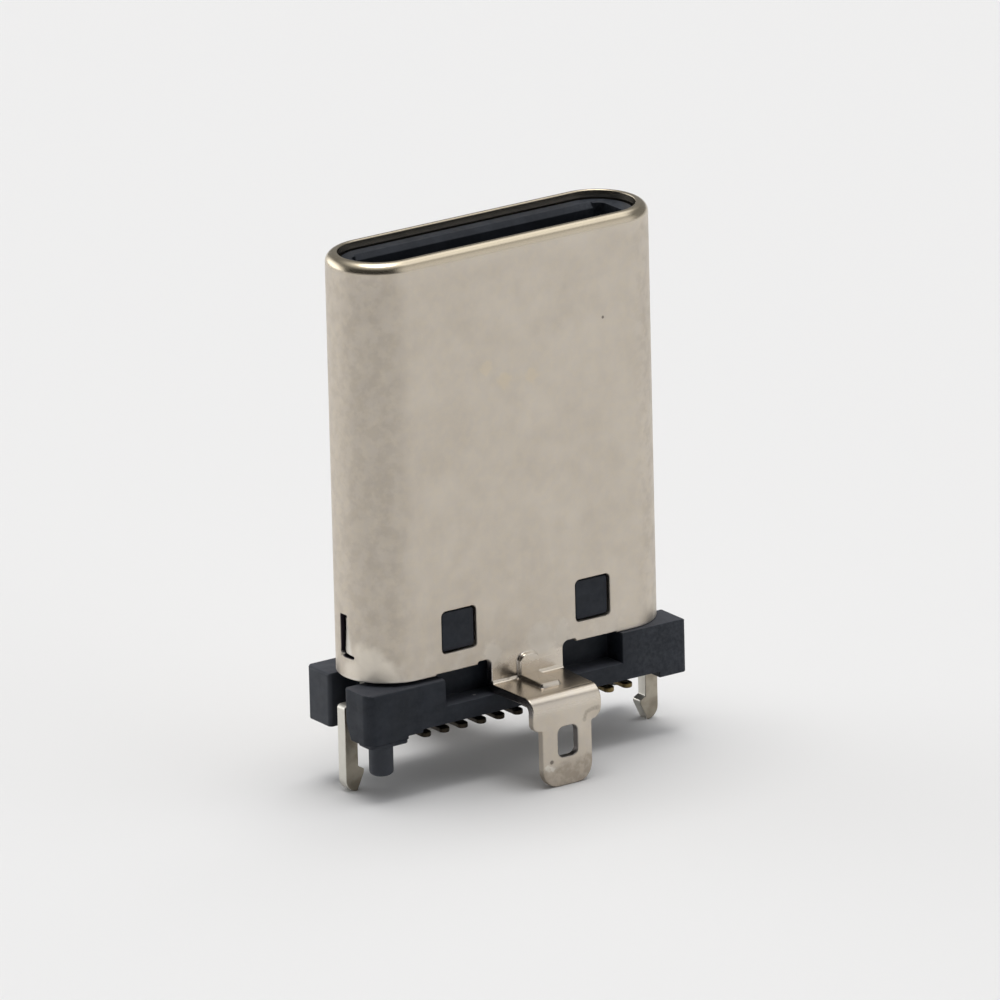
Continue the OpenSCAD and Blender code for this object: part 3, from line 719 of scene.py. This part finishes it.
# %% Crossings and insets
def divided(path, s_lines, q_lines, closed):
    """Adds the points where the path crosses the lines that the bends need."""
    result = []
    pairs = zip(path, path[1:] + path[:1]) if closed else zip(path, path[1:])
    for (s0, q0), (s1, q1) in pairs:
        cuts = {0.0}
        if abs(s1 - s0) > 1e-6:
            cuts |= {(line - s0) / (s1 - s0) for line in s_lines}
        if abs(q1 - q0) > 1e-6:
            cuts |= {(line - q0) / (q1 - q0) for line in q_lines}
        for cut in sorted(c for c in cuts if 0 <= c < 0.999):
            if cut == 0 or cut > 0.001:
                result.append((s0 + (s1 - s0) * cut, q0 + (q1 - q0) * cut))
    if not closed:
        result.append(path[-1])
    return result


def inset(path, distance, closed):
    """Moves a path to its left, which is into the sheet."""
    points = np.array(path)
    ahead = np.roll(points, -1, 0) - points
    ahead /= np.linalg.norm(ahead, axis=1)[:, None]
    if not closed:
        ahead[-1] = ahead[-2]
    behind = np.roll(ahead, 1, 0)
    if not closed:
        behind[0] = ahead[0]
    left_a, left_b = np.c_[-ahead[:, 1], ahead[:, 0]], np.c_[-behind[:, 1], behind[:, 0]]
    middle = left_a + left_b
    middle /= np.linalg.norm(middle, axis=1)[:, None]
    reach = distance / np.maximum((middle * left_a).sum(1), 0.4)
    return [tuple(p) for p in points + middle * reach[:, None]]


print("path helpers ready")

# %% [markdown]
# Going along the lower edge from the seam: a small step, the relief notch beside the tab, the tab
# with its shoulders and rounded tip, and the same again on the other side. The two windows, the slot
# in the leg and the thin slit round the flap are closed openings.

# %% Blank outline
TAB_W, KNEE_W, LEG_W, TIP_R = 0.975, 0.93, 0.68, 0.42
STEP_S, STEP_H, STEP_R = 2.46, 0.03, 0.012
NOTCH_W, NOTCH_H, NOTCH_R, NOTCH_IN_R, NOTCH_END_R = 0.36, 0.1, 0.144, 0.01, 0.055
SHOULDER_Z, SHOULDER_R, SHOULDER_IN_R, TAPER_R = 0.09, 0.18, 0.045, 0.3
WINDOW_S, WINDOW_RISE, WINDOW_W, WINDOW_H, WINDOW_R = 1.82, 0.96, 0.94, 0.99, 0.12
SLOT_Z, SLOT_W, SLOT_H, SLOT_R = -0.27, 0.53, 0.72, 0.16
SLIT_END_R = 0.02
tip_q, shoulder_q = leg_level(LEG_Z), leg_level(SHOULDER_Z)

half_edge = [
    (STEP_S, EDGE_Z, STEP_R),
    (STEP_S, EDGE_Z + STEP_H, STEP_R),
    (TAB_W + NOTCH_W, EDGE_Z + STEP_H, NOTCH_IN_R),
    (TAB_W + NOTCH_W, EDGE_Z + NOTCH_H, NOTCH_END_R),
    (TAB_W, EDGE_Z + NOTCH_H, NOTCH_R),
    (TAB_W, bend_q, TAPER_R),
    (KNEE_W, knee_q, TAPER_R),
    (KNEE_W, shoulder_q, SHOULDER_R),
    (LEG_W, shoulder_q, SHOULDER_IN_R),
    (LEG_W, tip_q, TIP_R),
]
mirrored_edge = [(-s, q, r) for s, q, r in half_edge]
first, last = (SEAM_S, EDGE_Z, 0), (SEAM_S + HALF_ROUND, EDGE_Z, 0)
lower_edge = rounded([first] + mirrored_edge + half_edge[::-1] + [last], closed=False)
upper_edge = [(SEAM_S + HALF_ROUND, top_q), (SEAM_S, top_q)]
openings = [
    rectangle(-WINDOW_S, EDGE_Z + WINDOW_RISE, WINDOW_W, WINDOW_H, WINDOW_R),
    rectangle(WINDOW_S, EDGE_Z + WINDOW_RISE, WINDOW_W, WINDOW_H, WINDOW_R),
    rectangle(0.0, leg_level(SLOT_Z), SLOT_W, SLOT_H, SLOT_R),
    rounded([
        (FLAP_S0, FLAP_Q0, SLIT_END_R),
        (FLAP_S0, FLAP_Q0 + SLIT, SLIT_END_R),
        (FLAP_S1 - SLIT, FLAP_Q0 + SLIT, 0.12),
        (FLAP_S1 - SLIT, FLAP_Q1 - SLIT, 0.03),
        (FLAP_S0 + FLAP_LEAN, FLAP_Q1 - SLIT, SLIT_END_R),
        (FLAP_S0 + FLAP_LEAN, FLAP_Q1, SLIT_END_R),
        (FLAP_S1, FLAP_Q1, 0.05),
        (FLAP_S1, FLAP_Q0, 0.17),
    ], steps=4),
]
print("openings cut in the blank:", len(openings))

# %% [markdown]
# ## Filling the blank
# A bend only looks round where points lie close together across it, so lines are drawn on the blank
# at every few degrees of each bend. The outline is divided where it crosses them. The fill starts a
# rim's width inside each edge, because the rim will be rounded.


# %% Lines on the blank
def even(low, high, pieces):
    return [low + (high - low) * k / pieces for k in range(pieces + 1)]


LIP_END = LIP_Z + LIP_R * math.pi / 2
s_lines = even(SEAM_S, -0.4, 10) + even(-0.35, 0.35, 10) + even(0.4, END_X, 11)
s_lines += even(END_X, END_X + math.pi * OUTER_R, 72)[1:] + [SEAM_S + HALF_ROUND]
q_lines = even(tip_q, leg_q, 14)
for low, high, pieces in (
    (leg_q, knee_q, 12), (knee_q, bend_q, 16), (bend_q, BEND_Z, 8), (BEND_Z, 1.6, 14),
    (1.6, 3.0, 28), (3.0, LIP_Z, 16), (LIP_Z, LIP_END, 10),
):
    q_lines += even(low, high, pieces)[1:]

lower_edge = divided(lower_edge, s_lines, q_lines, False)
upper_edge = divided(upper_edge, s_lines, [], False)
openings = [divided(o, s_lines, q_lines, True) for o in openings]
loops = [(lower_edge, False), (upper_edge, False)] + [(o, True) for o in openings]
insides = [inset(path, RIM_R, closed) for path, closed in loops]
side_q = [q for q in q_lines if EDGE_Z + 2 * RIM_R < q < top_q - 2 * RIM_R]
border = insides[0] + [(SEAM_S + HALF_ROUND, q) for q in side_q]
border += insides[1] + [(SEAM_S, q) for q in reversed(side_q)]
holes = insides[2:]
print("lines along:", len(s_lines), "lines down:", len(q_lines), "border points:", len(border))

# %% [markdown]
# Points for the fill must lie in the sheet, not in a hole and not too near an edge, where they
# would make slivers. A point is inside a closed polygon when a line from it to the side crosses the
# polygon an odd number of times.


# %% Inside or outside
def within(polygon, points):
    """Which points lie inside a closed polygon."""
    corners, hits = np.array(polygon), np.zeros(len(points), bool)
    for (x0, y0), (x1, y1) in zip(corners, np.roll(corners, -1, 0)):
        crosses = (y0 > points[:, 1]) != (y1 > points[:, 1])
        if crosses.any():
            edge_x = (x1 - x0) * (points[:, 1] - y0) / (y1 - y0 + 1e-15) + x0
            hits ^= crosses & (points[:, 0] < edge_x)
    return hits


def in_sheet(points):
    """Which points lie inside the border and in no hole."""
    inside = within(border, points)
    for hole in holes:
        inside &= ~within(hole, points)
    return inside


def clear_of(polygons, points, room):
    """Which points keep that distance from every polygon."""
    free = np.ones(len(points), bool)
    for polygon in polygons:
        starts = np.array(polygon)
        for start, end in zip(starts, np.roll(starts, -1, 0)):
            run = end - start
            share = np.clip(((points - start) @ run) / max(run @ run, 1e-12), 0, 1)
            free &= np.linalg.norm(points - start - share[:, None] * run, axis=1) > room
    return free


print("openings that the fill leaves out:", len(holes))

# %% [markdown]
# The crossings of the lines become points inside the sheet. The bead needs more: rings of points
# follow its foot, where the metal turns most, and a fine grid covers the bent shoulder. A finer grid
# everywhere would do as well, but with many times the faces.

# %% Points inside the blank
BEAD_RINGS = (0.4, 0.68, 0.77, 0.81, 0.85, 0.885, 0.92, 0.96, 1.0, 1.05, 1.15)
LEAST_R = 0.02
EDGE_ROOM = 0.012
FOLD_GRID_S, FOLD_GRID_Z = (-KNEE_W, -0.42), (0.0, 0.42)


def bead_ring(share):
    """Points round the bead, at that share of its half width."""
    grow = (share - 1) * BEAD_W / 2
    half, low, high = BEAD_W / 2 + grow, BEAD_END_Q - grow, BEAD_TOP_Q + grow
    top_r, end_r = max(BEAD_TOP_R + grow, LEAST_R), max(BEAD_END_R + grow, LEAST_R)
    corners = [(-half, low, end_r), (-half, high, top_r), (half, high, top_r), (half, low, end_r)]
    return divided(rounded(corners, steps=10), even(-half, half, 24), even(low, high, 60), True)


fold_rows = even(leg_level(FOLD_GRID_Z[0]), leg_level(FOLD_GRID_Z[1]), 18)
grids = [(s_lines, q_lines), (even(*FOLD_GRID_S, 22), fold_rows)]
crossings = [(s, q) for columns, rows in grids for s in columns for q in rows]
for share in BEAD_RINGS:
    crossings += bead_ring(share)
crossings = np.array(crossings)
crossings = crossings[in_sheet(crossings)]
crossings = crossings[clear_of([border] + holes, crossings, EDGE_ROOM)]
print("points inside the blank:", len(crossings))

# %% [markdown]
# A Delaunay fill joins all the points into well shaped triangles and keeps every edge of the outline.
# It also fills the holes, so triangles whose middle lies in a hole are dropped. The fill may merge
# points, and a table remembers where each given point went.

# %% Triangles
flat, fence_edges, loop_starts = [], [], []
for fence in [border] + holes:
    start = len(flat)
    loop_starts.append(start)
    flat += fence
    fence_edges += [(start + k, start + (k + 1) % len(fence)) for k in range(len(fence))]
loop_starts.insert(1, len(insides[0]) + len(side_q))
flat += [tuple(p) for p in crossings]
filled, _, triangles, sources, _, _ = delaunay_2d_cdt(
    [Vector(p) for p in flat], fence_edges, [], 1, 1e-7)
point_of = {given: index for index, merged in enumerate(sources) for given in merged}
middles = np.array([[sum(filled[v][k] for v in t) / 3 for k in (0, 1)] for t in triangles])
triangles = [t for t, is_solid in zip(triangles, in_sheet(middles)) if is_solid]
print("blank points:", len(filled), "given:", len(flat), "triangles:", len(triangles))

# %% [markdown]
# ## Sheet with two faces
# Before the sheet is bent, each place on it gets three marks that the nickel reads: how dark its cut
# edges are, with painted shade on the tab's edges, in the flap's slit and along the bead's foot; how
# drawn it is at bends; and where a painted highlight lies on the flap and along the lower edge of the
# round end. Each place also gets the exact direction of its face. Directions averaged from triangles
# would show as ripples in the highlights of the lip and the knee.

# %% Marks and directions
# The slit's and the tab's cut edges are painted darker as painted shade, and the bead's foot gets a
# line of painted shade.
SLIT_SHADE, LEG_CUT, TAB_EDGE_SHADE, PLAIN_CUT = 2.0, 0.08, 0.8, 0.25
FOOT_SHADE, FOOT_PLACE, FOOT_WIDTH = 0.40, 0.96, 0.09
# The lower edge of the round end gets a painted highlight of this share.
HEM_GLINT = 0.5
PROBE = 1e-4


def cut_shade_share(s, q, rim):
    """Darkness of a cut edge, painted shade on the tab's edges and in the slit, and a line of painted
    shade along the bead's foot.
    """
    on_tab = abs(s) < 1.0 and q < EDGE_Z + 0.02
    on_leg = on_tab and q < leg_q - 0.1 and abs(s) > 0.3
    in_slit = FLAP_S0 < s < FLAP_S1 + 0.01 and FLAP_Q0 - 0.1 < q < FLAP_Q1 + 0.1
    cut = SLIT_SHADE if in_slit else LEG_CUT if on_leg else TAB_EDGE_SHADE if on_tab else PLAIN_CUT
    foot = FOOT_SHADE * math.exp(-((bead_share(s, q) - FOOT_PLACE) / FOOT_WIDTH) ** 2)
    return max(rim * cut, foot * (0.3 + 0.7 * eased(s, 0.0, 0.2)))


def drawn_share(s, q):
    """Smooth metal at the lip and round the folds of the tab."""
    lip = eased(q, LIP_Z - 0.05, LIP_Z + 0.05)
    above = eased(math.hypot(max(abs(s) - 0.6, 0), q - EDGE_Z), 0.0, 0.3) * (q > EDGE_Z)
    tab = eased(q, leg_q - 0.15, leg_q + 0.05) * (1 - above) * (abs(s) < 1.3)
    return max(lip, tab)


def glint_share(s, q):
    """Painted highlight on the flap and along the lower edge of the round end."""
    hinge, _ = flap_hinge(q)
    flap = eased(s, hinge, hinge + 0.1) * (FLAP_Q0 < q < FLAP_Q1 and s < FLAP_S1)
    hem = (1 - eased(q, EDGE_Z + 0.02, EDGE_Z + 0.09)) * eased(s, 2.6, 3.2)
    return max(flap, HEM_GLINT * hem)


def facing(s, q, depth, worn):
    """The outer face's direction, from two small steps on the blank."""
    along = np.subtract(bent(s + PROBE, q, depth, worn), bent(s - PROBE, q, depth, worn))
    upwards = np.subtract(bent(s, q + PROBE, depth, worn), bent(s, q - PROBE, depth, worn))
    out = np.cross(upwards, along)
    return out / np.linalg.norm(out)


print("the wall faces", facing(0.0, 5.0, 0.0, False).round(3))

# %% [markdown]
# The sheet gets two faces, one at no depth and one a wall deeper, and a rounded rim that joins them
# round every cut edge. Solidify could add the second face, but it would leave the rims square. A rim
# is a stack of rings: from the outer face down, each lies a little further out and deeper, and then
# the same steps lead back in to the inner face.

# %% Rim of the sheet
RIM_STEPS = 3
rim_rings = []
for k in range(1, RIM_STEPS + 1):
    angle = math.pi / 2 * k / RIM_STEPS
    rim_rings.append((RIM_R * (1 - math.sin(angle)), RIM_R * (1 - math.cos(angle)), k / RIM_STEPS))
rim_rings += [(shift, WALL - depth, rim) for shift, depth, rim in reversed(rim_rings)]
print("rings in a rim:", len(rim_rings))

# %% [markdown]
# All of it is now bent to its place. The half shell is made twice, because only the front one has
# the handled leg.


# %% Sheet from the blank
def sheet_mesh(worn):
    points, faces, marks, ways = [], [], [], []
    face_start = {}

    def add(s, q, depth, rim):
        points.append(bent(s, q, depth, worn))
        marks.append((cut_shade_share(s, q, rim), drawn_share(s, q), glint_share(s, q)))

    for depth, side in ((0.0, 1), (WALL, -1)):
        face_start[depth] = len(points)
        for v in filled:
            add(v.x, v.y, depth, 0.0)
            ways.append(facing(v.x, v.y, depth, worn) * side)
        for t in triangles:
            faces.append([face_start[depth] + v for v in t][::side])
    for (path, closed), inner, first in zip(loops, insides, loop_starts):
        rings = [[point_of[first + k] for k in range(len(inner))]]
        for shift, depth, rim in rim_rings:
            ring = inset(path, shift, closed) if shift > 1e-9 else path
            rings.append(list(range(len(points), len(points) + len(ring))))
            for s, q in ring:
                add(s, q, depth, rim)
        rings.append([face_start[WALL] + index for index in rings[0]])
        for upper, lower in zip(rings, rings[1:]):
            last = len(upper) if closed else len(upper) - 1
            for k in range(last):
                m = (k + 1) % len(upper)
                faces.append([upper[k], lower[k], lower[m], upper[m]])
    return points, faces, marks, ways


halves = [sheet_mesh(True), sheet_mesh(False)]
print("half shell:", len(halves[0][0]), "points", len(halves[0][1]), "faces")

# %% [markdown]
# ## Joining the halves
# Shading on a flat that has rounded edges goes wrong when all faces count alike. The Weighted Normal
# modifier could mend that, but it knows nothing of the exact directions. So a helper lets large
# faces set the normals and uses the exact directions wherever they are known.

# %% Normals and pieces
MERGE = 1e-7


def weighted_normals(mesh):
    """Lets large faces set the normals, so that flats stay flat beside their rounded edges."""
    sums = np.zeros((len(mesh.vertices), 3))
    for face in mesh.polygons:
        sums[list(face.vertices)] += np.array(face.normal) * face.area
    hints = mesh.attributes.get("facing")
    if hints:
        exact = np.zeros(3 * len(mesh.vertices))
        hints.data.foreach_get("vector", exact)
        exact = exact.reshape(-1, 3)
        known = np.linalg.norm(exact, axis=1) > 0.5
        sums[known] = exact[known]
        mesh.attributes.remove(hints)
    lengths = np.linalg.norm(sums, axis=1)
    sums[lengths == 0] = (0, 0, 1)
    sums /= np.maximum(lengths, 1e-30)[:, None]
    mesh.polygons.foreach_set("use_smooth", [True] * len(mesh.polygons))
    mesh.normals_split_custom_set_from_vertices(sums.tolist())


def piece_from(name, mesh, finish):
    mesh.materials.clear()
    mesh.materials.append(finish)
    piece = bpy.data.objects.new(name, mesh)
    bpy.context.scene.collection.objects.link(piece)
    return piece


print("points closer than", round(MERGE / MM, 6), "mm are merged")

# %% [markdown]
# The drawn shell has no joint, so its halves become one mesh. Two objects would show a line where
# they meet. The second half is turned half round, and points that meet are merged. Ten corners of the
# outline are as tight as the rim or tighter. The path inside the rim crosses itself there and leaves
# some edges open, which are counted.


# %% Shell
def make_shell():
    shape = bmesh.new()
    layers = [shape.verts.layers.float.new(name) for name in ("cut_shade", "drawn", "glint")]
    way_layer = shape.verts.layers.float_vector.new("facing")
    for turn, (points, faces, marks, ways) in zip((1, -1), halves):
        corners = [shape.verts.new((x * turn * MM, y * turn * MM, z * MM)) for x, y, z in points]
        for corner, (x, y, z) in zip(corners, ways):
            corner[way_layer] = (x * turn, y * turn, z)
        for corner, shares in zip(corners, marks):
            for layer, share in zip(layers, shares):
                corner[layer] = share
        for face in faces:
            shape.faces.new([corners[k] for k in face])
    bmesh.ops.remove_doubles(shape, verts=shape.verts, dist=MERGE)
    loose = [v for v in shape.verts if not v.link_faces]
    bmesh.ops.delete(shape, geom=loose, context="VERTS")
    bmesh.ops.recalc_face_normals(shape, faces=shape.faces)
    open_edges = sum(len(e.link_faces) != 2 for e in shape.edges)
    mesh = bpy.data.meshes.new("shell_sheet")
    shape.to_mesh(mesh)
    shape.free()
    weighted_normals(mesh)
    print("shell:", len(mesh.polygons), "faces, open edges:", open_edges)
    return piece_from("shell_sheet", mesh, nickel)


shell = make_shell()

# %% [markdown]
# ## Mouldings and stampings
# The base halves, the housing and the latch plate keep the shape of their solids. They could be
# used as they are, but an edge with no radius catches no light. So a copy of each is merged, its flat
# faces are joined, and its sharp edges get the small radius that a tool leaves.

# %% Soft edges
FLAT_ANGLE, SHARP_ANGLE = math.radians(0.5), math.radians(40.0)


def is_sharp(edge):
    return len(edge.link_faces) == 2 and edge.calc_face_angle() > SHARP_ANGLE


def softened(node, name, radius, finish, steps=2, trim=None):
    """A merged copy of a solid with small rounded edges, as a piece."""
    shape = bmesh.new()
    shape.from_mesh(nodes[node].data)
    bmesh.ops.remove_doubles(shape, verts=shape.verts, dist=MERGE)
    if trim:
        trim(shape)
    bmesh.ops.dissolve_limit(
        shape, angle_limit=FLAT_ANGLE, use_dissolve_boundaries=False,
        verts=shape.verts, edges=shape.edges, delimit={"NORMAL"},
    )
    bmesh.ops.bevel(
        shape, geom=[e for e in shape.edges if is_sharp(e)], offset=radius * MM,
        offset_type="OFFSET", segments=steps, profile=0.5, affect="EDGES", clamp_overlap=False,
    )
    bmesh.ops.triangulate(shape, faces=[f for f in shape.faces if len(f.verts) > 4])
    mesh = bpy.data.meshes.new(name)
    shape.to_mesh(mesh)
    shape.free()
    weighted_normals(mesh)
    print(name, len(mesh.polygons), "faces")
    return piece_from(name, mesh, finish)


print("edges sharper than", round(math.degrees(SHARP_ANGLE)), "degrees are rounded")

# %% [markdown]
# The base is two equal mouldings, one turned half round. The outer corner of each block is rounder
# than in its solid. That corner is already round there, so a bevel can't widen it, and planes that
# touch the larger radius cut it first. The latch plate's cut edges are marked for its finish.

# %% Bases, housing and latch plate
BLOCK_X, BLOCK_Y, BLOCK_R, CUTS = 4.41, 1.32, 0.26, 6
BASE_EDGE, HOUSING_EDGE, LATCH_EDGE = 0.025, 0.012, 0.02


def round_block(turn):
    """Cuts the block's outer corner with planes that touch a larger radius."""
    def trim(shape):
        hub = Vector(((BLOCK_R - BLOCK_X) * turn, (BLOCK_R - BLOCK_Y) * turn, 0)) * MM
        for k in range(CUTS):
            angle = math.pi / 2 * (k + 0.5) / CUTS
            out = Vector((-math.cos(angle) * turn, -math.sin(angle) * turn, 0))
            cut = bmesh.ops.bisect_plane(
                shape, geom=shape.verts[:] + shape.edges[:] + shape.faces[:], dist=1e-8,
                plane_co=hub + out * BLOCK_R * MM, plane_no=out, clear_outer=True,
            )
            edges = [e for e in cut["geom_cut"] if isinstance(e, bmesh.types.BMEdge)]
            bmesh.ops.holes_fill(shape, edges=[e for e in edges if e.is_boundary], sides=0)
    return trim


def mark_edges(piece):
    """Marks the stamped edges of a sheet that lies across Y."""
    shares = [0.0 if abs(face.normal.y) > 0.5 else 1.0 for face in piece.data.polygons]
    piece.data.attributes.new("edge", "FLOAT", "FACE").data.foreach_set("value", shares)
    return piece


pieces = [(shell, ["shell"], "nickel")]
for side, turn in (("front", 1), ("rear", -1)):
    base = softened(side + "_base", "base_" + side, BASE_EDGE, moulding, trim=round_block(turn))
    pieces.append((base, [side + "_base"], "black_moulding"))
housing = softened("front_housing", "housing", HOUSING_EDGE, moulding)
pieces.append((housing, ["front_housing"], "black_moulding"))
latch = mark_edges(softened("latch_plate", "latch_stamping", LATCH_EDGE, latch_steel))
pieces.append((latch, ["latch_plate"], "latch_steel"))
print("pieces so far:", len(pieces))

# %% [markdown]
# ## Contact rows and ground springs
# All contacts in a row are the same stamping. Copies could be made one by one, but a row follows a
# rule, so one contact is softened and Geometry Nodes repeats it along a line. The tree takes the
# count, the pitch and the finish as named inputs.


# %% Contact row nodes
def row_tree():
    tree = bpy.data.node_groups.new("contact_row", "GeometryNodeTree")
    face = tree.interface
    face.new_socket("Geometry", in_out="INPUT", socket_type="NodeSocketGeometry")
    face.new_socket("Count", in_out="INPUT", socket_type="NodeSocketInt")
    face.new_socket("Pitch", in_out="INPUT", socket_type="NodeSocketFloat")
    face.new_socket("Finish", in_out="INPUT", socket_type="NodeSocketMaterial")
    face.new_socket("Geometry", in_out="OUTPUT", socket_type="NodeSocketGeometry")
    add, link = tree.nodes.new, tree.links.new
    given, result = add("NodeGroupInput"), add("NodeGroupOutput")
    line, step = add("GeometryNodeMeshLine"), add("ShaderNodeCombineXYZ")
    stamp, real = add("GeometryNodeInstanceOnPoints"), add("GeometryNodeRealizeInstances")
    paint = add("GeometryNodeSetMaterial")
    link(given.outputs["Pitch"], step.inputs["X"])
    link(given.outputs["Count"], line.inputs["Count"])
    link(step.outputs["Vector"], line.inputs["Offset"])
    link(line.outputs["Mesh"], stamp.inputs["Points"])
    link(given.outputs["Geometry"], stamp.inputs["Instance"])
    link(stamp.outputs["Instances"], real.inputs["Geometry"])
    link(real.outputs["Geometry"], paint.inputs["Geometry"])
    link(given.outputs["Finish"], paint.inputs["Material"])
    link(paint.outputs["Geometry"], result.inputs["Geometry"])
    print(tree.name, len(tree.nodes), "nodes")
    return tree


print("contact row tree ready")

# %% [markdown]
# The second row starts at its own first contact and runs the other way. The export drops live
# instances, so each row is turned into a plain mesh. The two ground springs in the housing are single
# stampings, so softening them is enough.

# %% Contact rows and springs
ROW_COUNT, PITCH = 12, 0.5
CONTACT_EDGE, SPRING_EDGE = 0.03, 0.01


def solved(source, name, finish):
    """The evaluated mesh of an object, as a plain piece at the origin."""
    bpy.context.view_layer.update()
    view = source.evaluated_get(bpy.context.evaluated_depsgraph_get())
    mesh = bpy.data.meshes.new_from_object(view)
    bpy.data.objects.remove(source)
    weighted_normals(mesh)
    return piece_from(name, mesh, finish)


def contact_row(first_node, name, count, pitch):
    source = softened(first_node, name + "_source", CONTACT_EDGE, gold, steps=3)
    modifier = source.modifiers.new("row", "NODES")
    modifier.node_group = row_tree()
    sockets = modifier.node_group.interface.items_tree
    inputs = {i.name: i.identifier for i in sockets if i.in_out == "INPUT"}
    modifier[inputs["Count"]] = count
    modifier[inputs["Pitch"]] = pitch * MM
    modifier[inputs["Finish"]] = gold
    row = solved(source, name, gold)
    print(name, len(row.data.polygons), "faces")
    return row


for letter, pitch in (("a", PITCH), ("b", -PITCH)):
    names = [f"contact_{letter}{k}" for k in range(1, ROW_COUNT + 1)]
    row = contact_row(names[0], "contact_row_" + letter, ROW_COUNT, pitch)
    pieces.append((row, names, "gold"))
for side in ("front", "rear"):
    spring = softened(side + "_ground_spring", "spring_" + side, SPRING_EDGE, spring_steel)
    pieces.append((spring, [side + "_ground_spring"], "spring_steel"))

# %% [markdown]
# ## Floor
# The part stands on the tips of its two legs and two pins, on a pale matt sheet that is far larger
# than the view, so that no edge of it shows. A backdrop could curve up behind the part, but seen
# from above the floor fills the frame. The upright walls mirror it, so it also sets how bright the
# shell looks.

# %% Floor
FLOOR_HALF = 3.0
FLOOR_TINT = (0.82, 0.82, 0.825, 1.0)
floor_shape = bmesh.new()
bmesh.ops.create_grid(floor_shape, x_segments=1, y_segments=1, size=FLOOR_HALF)
bmesh.ops.translate(floor_shape, verts=floor_shape.verts, vec=(0, 0, cad_box[0].z))
floor_mesh = bpy.data.meshes.new("floor")
floor_shape.to_mesh(floor_mesh)
floor_shape.free()
floor_finish = Finish("pale_floor")
floor_finish.set(Base_Color=FLOOR_TINT, Roughness=0.9, Specular_IOR_Level=0.1)
floor = piece_from("floor", floor_mesh, floor_finish.material)
print("floor at", round(cad_box[0].z / MM, 3), "mm")

# %% [markdown]
# ## Light
# Metal shows what surrounds it, so the studio is painted on the dome of the world: a soft glow from
# above, a weaker one all round that fades to dark behind the camera, and four soft panels. Two
# panels high on the right light the lip and the knee, one low behind on the left lights the edge of
# the round end, and one in front on the right lights the shelf. Panels as objects would do the same,
# but they would stand in the way of other views.

# %% Dome
KEY, HORIZON, DARK_SIDE, ZENITH = 0.76, 0.25, 0.02, 0.1
KEY_TILT, DARK_TURN = math.radians(5), math.radians(48)
KEY_WAY = (
    math.sin(TURN) * math.sin(KEY_TILT),
    math.cos(TURN) * math.sin(KEY_TILT),
    math.cos(KEY_TILT),
)
DARK_WAY = (-math.sin(DARK_TURN), -math.cos(DARK_TURN), 0)
PANELS = [
    ((0.53, 0.32, 0.785), 0.955, 0.99, 0.92),
    ((0.53, -0.22, 0.82), 0.955, 0.99, 0.84),
    ((-0.5, 0.86, -0.10), 0.72, 0.96, 2.3),
    ((0.54, -0.78, 0.32), 0.82, 0.97, 0.62),
]
DOME_TINT = (0.988, 0.993, 1.0, 1.0)

world = bpy.data.worlds.new("dome")
bpy.context.scene.world = world
world.use_nodes = True
dome = NodeTree(world.node_tree)
toward = dome.add("ShaderNodeTexCoord").outputs["Generated"]


def glow_round(way, low, high, least, most):
    """Light that changes towards a direction, between two cosines."""
    return dome.spread(dome.measure("DOT_PRODUCT", toward, way), low, high, least, most)


horizon_glow = glow_round(DARK_WAY, 0.2, 0.6, HORIZON, DARK_SIDE)
glow = dome.spread(dome.part(toward, "Z"), 0.3, 0.95, horizon_glow, ZENITH)
glow = dome.math("ADD", glow, glow_round(KEY_WAY, 0.66, 0.95, 0.0, KEY))
for way, low, high, most in PANELS:
    glow = dome.math("ADD", glow, glow_round(way, low, high, 0.0, most))
dome_light = dome.tree.nodes["Background"]
dome.feed(dome_light.inputs["Color"], DOME_TINT)
dome.feed(dome_light.inputs["Strength"], glow)
print("panels on the dome:", len(PANELS))

# %% [markdown]
# A large disk lamp above the part gives most of the light. The dome could do it alone, but its shadow
# would be faint. The lamp's size against its height sets how soft the edge of the shadow is.

# %% Lamp
LAMP_SIZE, LAMP_POWER = 0.4, 1.97
LAMP_TINT, LAMP_PLACE = (1.0, 0.985, 0.96), (0.02, 0.06, 0.6)
lamp = bpy.data.objects.new("lamp", bpy.data.lights.new("lamp", "AREA"))
bpy.context.scene.collection.objects.link(lamp)
lamp.data.shape = "DISK"
lamp.data.size = LAMP_SIZE
lamp.data.energy = LAMP_POWER
lamp.data.color = LAMP_TINT
lamp.location = LAMP_PLACE
lamp.rotation_euler = (-Vector(lamp.location)).to_track_quat("-Z", "Y").to_euler()
bpy.context.scene.view_settings.view_transform = "Standard"
print("lamp", round(lamp.location.z, 2), "m above the part")

# %% [markdown]
# ## Hand the pieces to the frame
# Each piece rides on the one body, and the solids that it stands for are hidden.

# %% Finish
for piece, solids, slot in pieces:
    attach(piece, "root")
    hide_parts(*solids)
print("pieces:", len(pieces))
